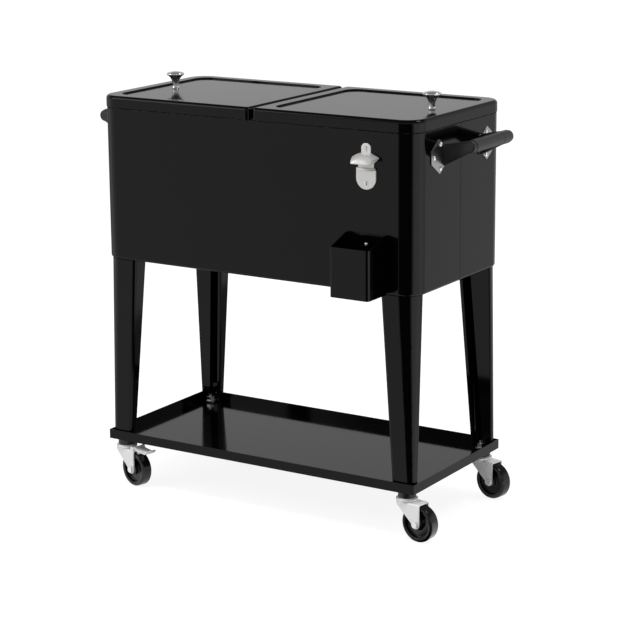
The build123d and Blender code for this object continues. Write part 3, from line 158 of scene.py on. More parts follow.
@dataclass(frozen=True)
class Finish:
    """One surface finish, with its colour, gloss and fine relief.

    Lengths are in metres: broad and fine are the sizes of the patches and of the grain.
    """

    slot: str
    colour: Colour
    second: Colour
    roughness: float
    spread: float
    grain: Grain
    broad: float = 0.12
    fine: float = 0.002
    relief: float = 0.00002
    strength: float = 0.3
    metallic: float = 0.0
    ior: float = 1.5
    look: str = ""

    def material(self) -> bpy.types.Material:
        """Make the material, or return the one already made.

        Returns:
            A node material named after the slot, or after its own look if it has one.
        """
        name = "finish_" + (self.look or self.slot)
        found = bpy.data.materials.get(name)
        if found is not None:
            return found
        made = bpy.data.materials.new(name)
        made.use_nodes = True
        made.node_tree.nodes.clear()
        graph = NodeGraph(made.node_tree)
        coords = graph.add("ShaderNodeTexCoord").outputs["Object"]
        patches = graph.add("ShaderNodeTexNoise", {
            "Vector": coords, "Scale": 1.0 / self.broad, "Detail": PATCH_DETAIL,
            "Roughness": PATCH_ROUGHNESS})
        height = self._relief(graph, coords)
        # A mix of colours has its factor at input 0 and its colours at inputs 6 and 7
        tone = graph.add("ShaderNodeMix", {
            0: patches.outputs["Fac"], 6: (*self.colour, 1.0), 7: (*self.second, 1.0)},
            data_type="RGBA")
        gloss = graph.add("ShaderNodeMapRange", {
            "Value": patches.outputs["Fac"], "From Min": PATCH_SPAN[0], "From Max": PATCH_SPAN[1],
            "To Min": self.roughness - self.spread, "To Max": self.roughness + self.spread})
        bump = graph.add("ShaderNodeBump", {
            "Height": height, "Strength": self.strength, "Distance": self.relief})
        shader = graph.add("ShaderNodeBsdfPrincipled", {
            "Base Color": tone.outputs[2], "Roughness": gloss.outputs["Result"],
            "Normal": bump.outputs["Normal"], "Metallic": self.metallic, "IOR": self.ior})
        graph.add("ShaderNodeOutputMaterial", {"Surface": shader.outputs["BSDF"]})
        return made

    def _relief(self, graph: NodeGraph, coords: Socket) -> Socket:
        """Add the nodes of the fine relief.

        Args:
            graph: the material's nodes.
            coords: object coordinates.

        Returns:
            The output that carries the relief's height.
        """
        scale = 1.0 / self.fine
        if self.grain is Grain.BRUSHED:
            drawn = graph.add("ShaderNodeMapping", {
                "Vector": coords, "Scale": (1.0, 1.0, BRUSH_STRETCH)})
            return graph.add("ShaderNodeTexNoise", {
                "Vector": drawn.outputs[0], "Scale": scale, "Detail": BRUSHED_DETAIL}).outputs["Fac"]
        if self.grain is Grain.SPANGLE:
            return graph.add("ShaderNodeTexVoronoi", {
                "Vector": coords, "Scale": scale}).outputs["Distance"]
        if self.grain is Grain.FOAMED:
            return graph.add("ShaderNodeTexVoronoi", {
                "Vector": coords, "Scale": scale}, feature="SMOOTH_F1").outputs["Distance"]
        detail = MOULDED_DETAIL if self.grain is Grain.MOULDED else PEEL_DETAIL
        return graph.add("ShaderNodeTexNoise", {
            "Vector": coords, "Scale": scale, "Detail": detail}).outputs["Fac"]


def grey(level: float) -> Colour:
    """Colour of an even grey."""
    return (level, level, level)


PAINT = Finish("black_paint", (0.0008, 0.0008, 0.0009), (0.0013, 0.0013, 0.0014), 0.10, 0.015,
               Grain.PEEL, broad=0.16, fine=0.006, strength=0.10, ior=1.28)
LINER = Finish("liner_plastic", (0.66, 0.67, 0.66), (0.72, 0.72, 0.70), 0.34, 0.05,
               Grain.MOULDED, fine=0.0015, relief=0.00004)
FOAM = Finish("insulation", (0.72, 0.58, 0.30), (0.80, 0.68, 0.40), 0.85, 0.05,
              Grain.FOAMED, broad=0.03, fine=0.0025, relief=0.0006, strength=0.8)
# Black rubber of the lid gaskets; the same near-black is also the painted shade of the seam on the
# tub's rim
SEAL_AND_SHADE = Finish("seal_rubber", grey(0.0015), grey(0.0025), 0.70, 0.05, Grain.MOULDED,
              broad=0.03, fine=0.0008, relief=0.00006, ior=1.06, look="seal_and_seam_shade")
ZINC = Finish("zinc_steel", grey(0.88), (0.93, 0.93, 0.92), 0.30, 0.04,
              Grain.SPANGLE, broad=0.03, fine=0.006, strength=0.08, metallic=1.0)
CHROME = Finish("knob_chrome", (0.78, 0.78, 0.79), grey(0.84), 0.10, 0.03,
                Grain.PEEL, broad=0.01, fine=0.004, relief=0.00001, strength=0.1, metallic=0.9)
OPENER = Finish("opener_steel", (0.76, 0.75, 0.73), (0.84, 0.83, 0.81), 0.42, 0.05,
                Grain.BRUSHED, broad=0.03, fine=0.0007, relief=0.00003, metallic=0.6)
FORK = replace(ZINC, colour=grey(0.95), second=grey(0.98), metallic=0.2, look="fork_zinc")
PLATE = replace(ZINC, colour=grey(0.40), second=grey(0.46), roughness=0.26, look="plate_steel")
WHEEL = Finish("wheel_black", grey(0.003), grey(0.005), 0.17, 0.03,
               Grain.MOULDED, broad=0.02, fine=0.0012, relief=0.00004)
SPACER = replace(WHEEL, slot="spacer_black", colour=grey(0.005), second=grey(0.010), roughness=0.40,
                 spread=0.05)
HANDLE = Finish("handle_black", (0.009, 0.009, 0.010), (0.015, 0.015, 0.016), 0.34, 0.05,
                Grain.MOULDED, broad=0.03, fine=0.0009, relief=0.00005)
DRAIN = Finish("drain_plastic", grey(0.014), grey(0.024), 0.48, 0.06,
               Grain.MOULDED, broad=0.02, fine=0.001, relief=0.00005)


class Piece:
    """A mesh on its way to becoming a finished piece of the part."""

    def __init__(self, name: str, mesh: Union[bmesh.types.BMesh, bpy.types.Mesh]) -> None:
        """Put the piece's faces in the scene, from a mesh or from a bmesh, which is freed."""
        if isinstance(mesh, bmesh.types.BMesh):
            loose = mesh
            mesh = bpy.data.meshes.new(name)
            loose.to_mesh(mesh)
            loose.free()
        self.thing = bpy.data.objects.new(name, mesh)
        bpy.context.scene.collection.objects.link(self.thing)

    def soften(self, width: float, weighted: bool = False) -> "Piece":
        """Round sharp edges, or weighted ones, by a width in millimetres, and return the piece."""
        bevel = self.thing.modifiers.new("edge", "BEVEL")
        bevel.width = width * MM
        bevel.segments = BEVEL_STEPS
        bevel.limit_method = "WEIGHT" if weighted else "ANGLE"
        bevel.angle_limit = math.radians(CREASE)
        return self

    def settle(self, finish: Finish, body: str, *nodes: str, angle: float = CREASE) -> None:
        """Shade, paint and seat the piece.

        Args:
            finish: the surface finish.
            body: the body that the piece moves with.
            nodes: the nodes that it stands for.
            angle: edges sharper than this many degrees stay crisp, where none are rounded.
        """
        mesh = self.thing.data
        mesh.shade_smooth()
        if not self.thing.modifiers:
            mesh.set_sharp_from_angle(angle=math.radians(angle))
        even = self.thing.modifiers.new("even_normals", "WEIGHTED_NORMAL")
        even.weight = STRONGEST_WEIGHT
        even.keep_sharp = True
        mesh.materials.clear()
        mesh.materials.append(finish.material())
        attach(self.thing, body)
        if nodes:
            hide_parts(*nodes)
        log.info("%s on %s, finish %s", self.thing.name, body, finish.slot)


def body_of(node: str) -> str:
    """Name of the body that carries a node."""
    return frame["nodes"][node]["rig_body"]


def joint_at(name: str) -> tuple[Vector, Vector]:
    """Place and axis of a joint at rest."""
    found = next(j for j in frame["joints"] if j["name"] == name)
    return Vector(found["pos_m"]), Vector(found["axis"])


def welded(node: str) -> bmesh.types.BMesh:
    """Copy a node's faces into a new bmesh, joined up, with its flat faces made whole."""
    bm = bmesh.new()
    bm.from_mesh(frame["nodes"][node].data)
    bmesh.ops.remove_doubles(bm, verts=bm.verts[:], dist=WELD)
    bmesh.ops.dissolve_limit(bm, angle_limit=math.radians(FLAT), verts=bm.verts[:],
                             edges=bm.edges[:])
    return bm


def dressed(node: str, finish: Finish, edge: float) -> None:
    """Finish a node's own shape, with its edges rounded by a width in millimetres."""
    Piece(node + "_skin", welded(node)).soften(edge).settle(finish, body_of(node), node)


def rolled(node: str, finish: Finish, edge: float, roll: float, seams: Sequence[tuple[int, float]],
           middle: Vector) -> None:
    """Finish a sheet's own shape, with a broader rounding where its outer face meets a seam.

    Args:
        node: the node's name.
        finish: the surface finish.
        edge: width of the plain edge rounding, in millimetres.
        roll: width of the rounding along the seams, in millimetres.
        seams: axis number and place of each plane in which a seam lies.
        middle: a point that the outer faces turn away from.
    """
    bm = welded(node)
    weight = bm.edges.layers.float.new("bevel_weight_edge")
    for line in bm.edges:
        if len(line.link_faces) != 2 or line.calc_face_angle(0.0) < math.radians(CREASE):
            continue
        line[weight] = edge / roll
        halfway = (line.verts[0].co + line.verts[1].co) / 2
        for axis, place in seams:
            if max(abs(v.co[axis] - place) for v in line.verts) > SEAM_REACH:
                continue
            away = halfway - middle
            away[axis] = 0.0
            away.z = 0.0
            standing = [f.normal for f in line.link_faces if abs(f.normal[axis]) < SEAM_TILT]
            if any(normal.dot(away) > 0.0 for normal in standing):
                line[weight] = 1.0
    Piece(node + "_skin", bm).soften(roll, weighted=True).settle(finish, body_of(node), node)


def painted(node: str, finish: Finish) -> None:
    """Give a node that stays as it is its finish."""
    mesh = frame["nodes"][node].data
    mesh.materials.clear()
    mesh.materials.append(finish.material())
    log.info("%s kept, finish %s", node, finish.slot)


def solids(node: str) -> list[tuple[Vector, Vector]]:
    """Lowest and highest corners of each separate solid of a node, in a fixed order."""
    bm = welded(node)
    left = set(bm.verts)
    found = []
    while left:
        reached = {left.pop()}
        front = list(reached)
        while front:
            near = [e.other_vert(v) for v in front for e in v.link_edges]
            front = [v for v in set(near) if v not in reached]
            reached.update(front)
        left -= reached
        low = Vector([min(v.co[i] for v in reached) for i in range(3)])
        high = Vector([max(v.co[i] for v in reached) for i in range(3)])
        found.append((low, high))
    bm.free()
    return sorted(found, key=lambda pair: tuple(pair[0]))


def seat_of(low: Vector, high: Vector) -> Vector:
    """Middle of a box's underside."""
    return Vector(((low.x + high.x) / 2, (low.y + high.y) / 2, low.z))


def turned(bm: bmesh.types.BMesh, profile: Profile, place: Matrix, steps: int,
           closed: bool = True) -> None:
    """Turn a profile round the local Z axis and add its faces.

    Args:
        bm: where the faces go.
        profile: radius and height of each point, in metres.
        place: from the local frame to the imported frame.
        steps: faces round the axis.
        closed: joins the last point to the first, as for a ring.
    """
    rings = []
    for radius, height in profile:
        if radius < ON_AXIS:
            rings.append([bm.verts.new(place @ Vector((0.0, 0.0, height)))])
            continue
        ring = []
        for k in range(steps):
            turn = 2.0 * math.pi * k / steps
            spot = Vector((radius * math.cos(turn), radius * math.sin(turn), height))
            ring.append(bm.verts.new(place @ spot))
        rings.append(ring)
    pairs = list(zip(rings, rings[1:]))
    if closed:
        pairs.append((rings[-1], rings[0]))
    for one, two in pairs:
        for k in range(steps):
            near = [one[k % len(one)], one[(k + 1) % len(one)]]
            far = [two[(k + 1) % len(two)], two[k % len(two)]]
            corners = list(dict.fromkeys(near + far))
            if len(corners) > 2:
                bm.faces.new(corners)
    bmesh.ops.recalc_face_normals(bm, faces=bm.faces[:])


def rounded(points: Profile, radii: Sequence[float], steps: int = 5) -> list[tuple[float, float]]:
    """Round the corners of an open or closed profile.

    Args:
        points: the profile's corners, in metres.
        radii: rounding at each corner, 0 for none.
        steps: points along each rounding.

    Returns:
        The profile with arcs at its corners.
    """
    out = []
    count = len(points)
    for i, (spot, radius) in enumerate(zip(points, radii)):
        here = Vector(spot)
        back = Vector(points[i - 1]) - here
        on = Vector(points[(i + 1) % count]) - here
        if radius <= 0.0:
            out.append(tuple(here))
            continue
        half = back.angle(on) / 2.0
        run = radius / math.tan(half)
        middle = here + (back.normalized() + on.normalized()).normalized() * radius / math.sin(half)
        start = here + back.normalized() * run - middle
        end = here + on.normalized() * run - middle
        sweep = start.angle_signed(end)
        for k in range(steps + 1):
            turn = -sweep * k / steps
            out.append((middle.x + start.x * math.cos(turn) - start.y * math.sin(turn),
                        middle.y + start.x * math.sin(turn) + start.y * math.cos(turn)))
    return out


def facing(spot: Vector, axis: Vector) -> Matrix:
    """Frame at a point, with its Z along an axis."""
    return Matrix.Translation(spot) @ axis.normalized().to_track_quat("Z", "Y").to_matrix().to_4x4()


class NodeShape:
    """A geometry node tree that builds what repeats, and the way to run it."""

    def __init__(self, name: str, inputs: dict[str, str]) -> None:
        """Start a tree.

        Args:
            name: the tree's name.
            inputs: name and socket type of each size that can be set.
        """
        self.tree = bpy.data.node_groups.new(name, "GeometryNodeTree")
        face = self.tree.interface
        face.new_socket("Geometry", in_out="INPUT", socket_type="NodeSocketGeometry")
        self.keys = {}
        for label, kind in inputs.items():
            self.keys[label] = face.new_socket(label, in_out="INPUT", socket_type=kind).identifier
        face.new_socket("Geometry", in_out="OUTPUT", socket_type="NodeSocketGeometry")
        self.graph = NodeGraph(self.tree)
        self.given = self.graph.add("NodeGroupInput").outputs

    def close(self, geometry: Socket) -> None:
        """Realize the instances, set the material and end the tree."""
        whole = self.graph.add("GeometryNodeRealizeInstances", {"Geometry": geometry})
        smooth = self.graph.add("GeometryNodeSetShadeSmooth", {"Geometry": whole.outputs[0]})
        coated = self.graph.add("GeometryNodeSetMaterial", {
            "Geometry": smooth.outputs[0], "Material": self.given["Material"]})
        self.graph.add("NodeGroupOutput", {"Geometry": coated.outputs[0]})

    def run(self, name: str, spots: Sequence[Vector], outward: Sequence[Vector],
            reaches: Sequence[float], sizes: dict[str, object]) -> Piece:
        """Run the tree on a set of points and turn the result into a plain mesh.

        Args:
            name: the new piece's name.
            spots: where the copies go.
            outward: the direction that each copy faces.
            reaches: how far each copy goes in behind its point.
            sizes: value of each input.

        Returns:
            The piece, not yet seated.
        """
        cloud = bpy.data.meshes.new(name + "_points")
        cloud.from_pydata([tuple(s) for s in spots], [], [])
        ways = cloud.attributes.new("outward", "FLOAT_VECTOR", "POINT")
        ways.data.foreach_set("vector", [c for way in outward for c in way])
        cloud.attributes.new("reach", "FLOAT", "POINT").data.foreach_set("value", reaches)
        carrier = bpy.data.objects.new(name + "_carrier", cloud)
        bpy.context.scene.collection.objects.link(carrier)
        run = carrier.modifiers.new("nodes", "NODES")
        run.node_group = self.tree
        for label, value in sizes.items():
            run[self.keys[label]] = value
        graph = bpy.context.evaluated_depsgraph_get()
        mesh = bpy.data.meshes.new_from_object(carrier.evaluated_get(graph))
        mesh.name = name
        carrier.modifiers.clear()
        bpy.data.objects.remove(carrier)
        return Piece(name, mesh)


def facing_points(shape: NodeShape, instance: Socket, scale: Optional[Socket] = None) -> Socket:
    """Set an instance on every point, turned to face outward.

    Args:
        shape: the tree that is being built.
        instance: what is copied.
        scale: size of each copy, or None to leave it.

    Returns:
        The instances.
    """
    way = shape.graph.add("GeometryNodeInputNamedAttribute", {"Name": "outward"},
                          data_type="FLOAT_VECTOR")
    turn = shape.graph.add("FunctionNodeAlignRotationToVector", {"Vector": way.outputs[0]}, axis="Z")
    values = {"Points": shape.given["Geometry"], "Instance": instance, "Rotation": turn.outputs[0]}
    if scale is not None:
        values["Scale"] = scale
    return shape.graph.add("GeometryNodeInstanceOnPoints", values).outputs[0]


def socket_screws() -> NodeShape:
    """Tree of screws with a domed head, a six-sided socket and a plain shank.

    Returns:
        The tree, with inputs Radius, Height, Socket, Shank and Material.
    """
    head_segments = 32
    head_rings = 16
    socket_sides = 6
    socket_rise = 0.8
    shank_sides = 24
    block = 0.1
    sizes = ("Radius", "Height", "Socket", "Shank")
    shape = NodeShape("socket_screws", {**dict.fromkeys(sizes, "NodeSocketFloat"),
                                        "Material": "NodeSocketMaterial"})
    graph = shape.graph
    given = shape.given
    ball = graph.add("GeometryNodeMeshUVSphere", {
        "Segments": head_segments, "Rings": head_rings, "Radius": given["Radius"]})
    flat = graph.add("ShaderNodeMath", {0: given["Height"], 1: given["Radius"]}, operation="DIVIDE")
    squeeze = graph.add("ShaderNodeCombineXYZ", {"X": 1.0, "Y": 1.0, "Z": flat.outputs[0]})
    dome = graph.add("GeometryNodeTransform", {
        "Geometry": ball.outputs["Mesh"], "Scale": squeeze.outputs[0]})
    behind = graph.add("GeometryNodeMeshCube", {"Size": (block, block, block)})
    below = graph.add("GeometryNodeTransform", {
        "Geometry": behind.outputs["Mesh"], "Translation": (0.0, 0.0, -block / 2)})
    key = graph.add("GeometryNodeMeshCylinder", {
        "Vertices": socket_sides, "Radius": given["Socket"], "Depth": given["Height"]})
    rise = graph.add("ShaderNodeMath", {0: given["Height"], 1: socket_rise}, operation="MULTIPLY")
    lift = graph.add("ShaderNodeCombineXYZ", {"Z": rise.outputs[0]})
    raised = graph.add("GeometryNodeTransform", {
        "Geometry": key.outputs["Mesh"], "Translation": lift.outputs[0]})
    half = graph.add("GeometryNodeMeshBoolean", {
        "Mesh 1": dome.outputs[0], "Mesh 2": below.outputs[0]}, operation="DIFFERENCE")
    cut = graph.add("GeometryNodeMeshBoolean", {
        "Mesh 1": half.outputs["Mesh"], "Mesh 2": raised.outputs[0]}, operation="DIFFERENCE")
    # The shank is one metre long here, and each point's reach scales it
    pin = graph.add("GeometryNodeMeshCylinder", {
        "Vertices": shank_sides, "Radius": given["Shank"], "Depth": 1.0})
    sunk = graph.add("GeometryNodeTransform", {
        "Geometry": pin.outputs["Mesh"], "Translation": (0.0, 0.0, -0.5)})
    reach = graph.add("GeometryNodeInputNamedAttribute", {"Name": "reach"}, data_type="FLOAT")
    length = graph.add("ShaderNodeCombineXYZ", {"X": 1.0, "Y": 1.0, "Z": reach.outputs[0]})
    heads = facing_points(shape, cut.outputs["Mesh"])
    shanks = facing_points(shape, sunk.outputs[0], length.outputs[0])
    both = graph.add("GeometryNodeJoinGeometry", {0: heads})
    graph.tree.links.new(shanks, both.inputs[0])
    shape.close(both.outputs[0])
    return shape


@dataclass
class Screws:
    """One kind of screw, wherever a node has it."""

    node: str
    outward: Vector
    head: float
    head_height: float
    socket: float
    shank: float

    def dress(self, tree: NodeShape) -> None:
        """Make every screw of the node with one run of the tree of screws."""
        spots = []
        ways = []
        reaches = []
        for low, high in solids(self.node):
            middle = (low + high) / 2
            way = self.outward * math.copysign(1.0, middle.dot(self.outward))
            half = (high - low).dot(Vector(map(abs, way))) / 2
            spots.append(middle + way * (half - self.head_height))
            ways.append(way)
            reaches.append(2 * half - self.head_height)
        piece = tree.run(self.node + "_whole", spots, ways, reaches, {
            "Radius": self.head, "Height": self.head_height, "Socket": self.socket,
            "Shank": self.shank, "Material": ZINC.material()})
        piece.settle(ZINC, body_of(self.node), self.node)


@dataclass
class Chest:
    """Insulated chest: jacket, bottom pan, tub and the bar that carries the hinges.

    Edge, roll and fold are widths of roundings, in millimetres.
    """

    edge: float = 0.3
    roll: float = 1.1
    fold: float = 0.5
    # Width, height, corner radius and steps of the dark strip of painted shade under the seam
    shade_width: float = 9.0 * MM
    shade_height: float = 0.5 * MM
    shade_corner: float = 38.2 * MM
    shade_steps: int = 12

    def dress(self) -> None:
        """Finish every fixed piece of the chest."""
        # Painted shade for the seam: a dark strip on the tub's rim, not a part
        self.seam_shade()
        low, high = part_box("rear_shell")
        middle = Vector((0.0, low.y, (low.z + high.z) / 2))
        for node in ("front_shell", "rear_shell"):
            rolled(node, PAINT, self.edge, self.roll, ((Z_AXIS, high.z), (Y_AXIS, low.y)), middle)
        for node in ("bottom_pan", "hinge_crossbar"):
            dressed(node, PAINT, self.fold)
        dressed("inner_liner", LINER, self.fold)
        painted("insulation_foam", FOAM)
        for node in ("hinge_ears", "hinge_pins", "crossbar_rivets"):
            dressed(node, ZINC, self.edge)

    def seam_shade(self) -> None:
        """Lay a flat dark strip round the outer edge of the tub's rim as painted shade, seen through
        the seam.
        """
        low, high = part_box("inner_liner")
        middle = Vector(((low.x + high.x) / 2, (low.y + high.y) / 2, high.z))
        outer = ((high.x - low.x) / 2, (high.y - low.y) / 2)
        corners = [(-1, -1), (1, -1), (1, 1), (-1, 1)]
        section = ((0.0, 0.0), (0.0, self.shade_height), (self.shade_width, self.shade_height),
                   (self.shade_width, 0.0))
        bm = bmesh.new()
        loops = []
        for inset, rise in section:
            plan = [(sx * (outer[0] - inset), sy * (outer[1] - inset)) for sx, sy in corners]
            edge = rounded(plan, [self.shade_corner - inset] * len(plan), self.shade_steps)
            loops.append([bm.verts.new(middle + Vector((x, y, rise))) for x, y in edge])
        for one, two in zip(loops, loops[1:] + loops[:1]):
            for k in range(len(one)):
                bm.faces.new((one[k - 1], one[k], two[k], two[k - 1]))
        bmesh.ops.recalc_face_normals(bm, faces=bm.faces[:])
        # The strip is painted seam shade, in the gaskets' near-black
        Piece("rim_painted_shade", bm).settle(SEAL_AND_SHADE, body_of("inner_liner"))


@dataclass
class Lid:
    """One of the two lids, with its knob.

    Edge, roll and fold are widths of roundings, in millimetres. The knob's sizes are radii, heights
    over its seat and roundings, and crisp is the angle in degrees past which its edges stay sharp.
    """

    side: Side
    edge: float = 0.3
    roll: float = 1.1
    fold: float = 0.5
    head: float = 18.5 * MM
    neck: float = 6.6 * MM
    foot: float = 7.7 * MM
    foot_edge: float = 1.0 * MM
    foot_top: float = 4.0 * MM
    foot_round: float = 0.3 * MM
    neck_round: float = 2.0 * MM
    waist: float = 6.0 * MM
    band: float = 6.2 * MM
    dome: float = 2.6 * MM
    height: float = 35.2 * MM
    flare: float = 2.6
    foot_steps: int = 6
    flare_steps: int = 16
    head_steps: int = 12
    sides: int = 96
    crisp: float = 50.0

    def dress(self) -> None:
        """Finish the lid's pressed cover, its inside and its hinge lugs."""
        name = self.side.value + "_lid_"
        low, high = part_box(name + "cover")
        rolled(name + "cover", PAINT, self.edge, self.roll, ((Z_AXIS, low.z),), (low + high) / 2)
        dressed(name + "inner_pan", LINER, self.fold)
        dressed(name + "gasket", SEAL_AND_SHADE, self.fold)
        dressed(name + "hinge_lugs", ZINC, self.edge)
        painted(name + "foam", FOAM)
        painted(name + "knob_screw", ZINC)
        self.knob()

    def knob(self) -> None:
        """Turn the knob: a low foot, a slim neck that flares to a broad rim, and a low dome."""
        node = self.side.value + "_lid_knob"
        low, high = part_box(node)
        rim = self.height - self.dome
        under = rim - self.band
        curl = self.band / 2
        lip = self.head - curl
        profile = rounded([(0.0, 0.0), (self.foot, 0.0), (self.foot, self.foot_edge),
                           (self.neck, self.foot_top), (self.neck, self.waist)],
                          [0.0, self.foot_round, self.foot_round, self.neck_round, 0.0],
                          self.foot_steps)
        for k in range(1, self.flare_steps + 1):
            part = k / self.flare_steps
            profile.append((self.neck + (lip - self.neck) * part ** self.flare,
                            self.waist + (under - self.waist) * part))
        for k in range(1, self.head_steps + 1):
            turn = math.pi * k / self.head_steps - math.pi / 2.0
            profile.append((lip + curl * math.cos(turn), under + curl + curl * math.sin(turn)))
        for k in range(1, self.head_steps + 1):
            part = k / self.head_steps
            profile.append((lip * (1.0 - part), rim + self.dome * (1.0 - (1.0 - part) ** 2)))
        bm = bmesh.new()
        turned(bm, profile, Matrix.Translation(seat_of(low, high)), self.sides, closed=False)
        Piece(node + "_turned", bm).settle(CHROME, body_of(node), node, angle=self.crisp)


@dataclass
class Stand:
    """Legs and storage tray, with the widths of their edge roundings in millimetres."""

    edge: float = 0.45
    bolt_edge: float = 0.3

    def dress(self) -> None:
        """Finish the folded legs, their bolts and the tray."""
        for corner in Corner:
            dressed(corner.value + "_leg", PAINT, self.edge)
        dressed("storage_tray", PAINT, self.edge)
        dressed("leg_bolts", ZINC, self.bolt_edge)


@dataclass
class Casters:
    """The four swivel casters: wheels, forks, races, spacers and brakes.

    Lengths are in metres, apart from the roundings: edge, pressed_edge and the three rounds, which
    give one rounding for each corner of a section, are in millimetres.
    """

    edge: float = 0.3
    pressed_edge: float = 0.35
    tread: float = 37.5 * MM
    width: float = 24.0 * MM
    hub: float = 12.0 * MM
    hub_width: float = 27.0 * MM
    hub_bevel: tuple[float, float] = (3.0 * MM, 1.5 * MM)
    hub_draft: float = 1.0 * MM
    bore: float = 4.1 * MM
    web: float = 10.0 * MM
    rim: float = 28.5 * MM
    rim_draft: float = 1.5 * MM
    rim_drop: float = 1.0 * MM
    groove: tuple[float, float, float] = (3.0 * MM, 3.6 * MM, 4.2 * MM)
    groove_depth: float = 0.5 * MM
    mould_line: tuple[float, float] = (0.35 * MM, 0.12 * MM)
    wheel_rounds: tuple[float, ...] = (0.4, 0.0, 0.6, 1.4, 1.4, 0.6, 0.3, 0.2, 0.3, 4.4)
    wheel_sides: int = 96
    wheel_crisp: float = 60.0
    stem_bore: float = 5.2 * MM
    ring: float = 22.0 * MM
    ring_foot: tuple[float, float] = (1.0 * MM, 0.9 * MM)
    ring_shoulder: float = 2.0 * MM
    ring_crown: tuple[float, float] = (3.4 * MM, 0.3 * MM)
    ring_top: float = 18.2 * MM
    ring_rounds: tuple[float, ...] = (0.0, 0.2, 0.3, 0.5, 1.4, 1.0, 0.0, 0.0)
    spacer_rounds: tuple[float, ...] = (0.0, 0.8, 1.2, 0.0)
    spacer_steps: int = 4
    stack_sides: int = 80
    braked: tuple[Corner, ...] = (Corner.FRONT_LEFT, Corner.REAR_LEFT)

    def wheel_profile(self) -> list[tuple[float, float]]:
        """Half round section of a wheel: tread, rim, dished web and hub.

        Returns:
            Radius and height of each point, round the whole section.
        """
        half = self.width / 2
        face = self.hub_width / 2
        inner, bottom, outer = self.groove
        wide, high = self.mould_line
        side = [(self.bore, face), (self.hub - self.hub_bevel[0], face),
                (self.hub, face - self.hub_bevel[1]), (self.hub + self.hub_draft, self.web / 2),
                (self.rim - self.rim_draft, self.web / 2), (self.rim, half - self.rim_drop),
                (self.rim + inner, half), (self.rim + bottom, half - self.groove_depth),
                (self.rim + outer, half), (self.tread, half)]
        radii = [width * MM for width in self.wheel_rounds]
        mould = [(self.tread, wide), (self.tread + high, 0.0), (self.tread, -wide)]
        whole = side + mould + [(r, -h) for r, h in reversed(side)]
        return rounded(whole, radii + [0.0] * len(mould) + radii[::-1])

    def wheel(self, corner: Corner) -> None:
        """Turn the wheel of one corner about its own axle."""
        node = corner.value + "_wheel"
        spot, axis = joint_at(corner.value + "_wheel_spin")
        bm = bmesh.new()
        turned(bm, self.wheel_profile(), facing(spot, axis), self.wheel_sides)
        Piece(node + "_turned", bm).settle(WHEEL, body_of(node), node, angle=self.wheel_crisp)

    def ring_profile(self, height: float) -> list[tuple[float, float]]:
        """Section of an upper race, with a drawn-in foot over the fork's crown."""
        inset, foot = self.ring_foot
        slope, drop = self.ring_crown
        corners = [(self.stem_bore, 0.0), (self.ring - inset, 0.0), (self.ring - inset, foot),
                   (self.ring, foot), (self.ring, height - self.ring_shoulder),
                   (self.ring - slope, height - drop), (self.ring_top, height),
                   (self.stem_bore, height)]
        return rounded(corners, [width * MM for width in self.ring_rounds])

    def spacer_profile(self, radius: float, height: float) -> list[tuple[float, float]]:
        """Section of a spacer, as the radius and height of each point."""
        corners = [(self.stem_bore, 0.0), (radius, 0.0), (radius, height), (self.stem_bore, height)]
        return rounded(corners, [width * MM for width in self.spacer_rounds], self.spacer_steps)

    def stacks(self) -> None:
        """Turn the races and spacers over the forks."""
        rings = bmesh.new()
        spacers = bmesh.new()
        for low, high in solids("swivel_rings"):
            profile = self.ring_profile(high.z - low.z)
            turned(rings, profile, Matrix.Translation(seat_of(low, high)), self.stack_sides)
        for low, high in solids("caster_spacers"):
            profile = self.spacer_profile((high.x - low.x) / 2, high.z - low.z)
            turned(spacers, profile, Matrix.Translation(seat_of(low, high)), self.stack_sides)
        Piece("swivel_rings_turned", rings).settle(FORK, "cabinet", "swivel_rings")
        Piece("caster_spacers_turned", spacers).settle(SPACER, "cabinet", "caster_spacers")

    def dress(self) -> None:
        """Finish all four casters."""
        self.stacks()
        for corner in Corner:
            self.wheel(corner)
            dressed(corner.value + "_fork", FORK, self.pressed_edge)
            dressed(corner.value + "_axle", ZINC, self.edge)
        for corner in self.braked:
            dressed(corner.value + "_brake_pedal", FORK, self.pressed_edge)
        dressed("caster_stems", PLATE, self.edge)
        dressed("caster_nuts", PLATE, self.edge)


@dataclass
class Handles:
    """The two end handles with their plates and bolts, and their edge roundings in millimetres."""

    grip_edge: float = 0.5
    arm_edge: float = 0.8
    plate_edge: float = 0.6
    bolts: Screws = field(default_factory=lambda: Screws(
        "handle_bolts", Vector((1.0, 0.0, 0.0)), head=4.5 * MM, head_height=3.0 * MM,
        socket=1.8 * MM, shank=2.5 * MM))

    def dress(self, tree: NodeShape) -> None:
        """Finish the handles, with bolts from the tree of screws."""
        for side in Side:
            dressed(side.value + "_handle_grip", HANDLE, self.grip_edge)
            dressed(side.value + "_handle_arms", HANDLE, self.arm_edge)
        dressed("handle_plates", PLATE, self.plate_edge)
        painted("handle_backing_plates", ZINC)
        self.bolts.dress(tree)


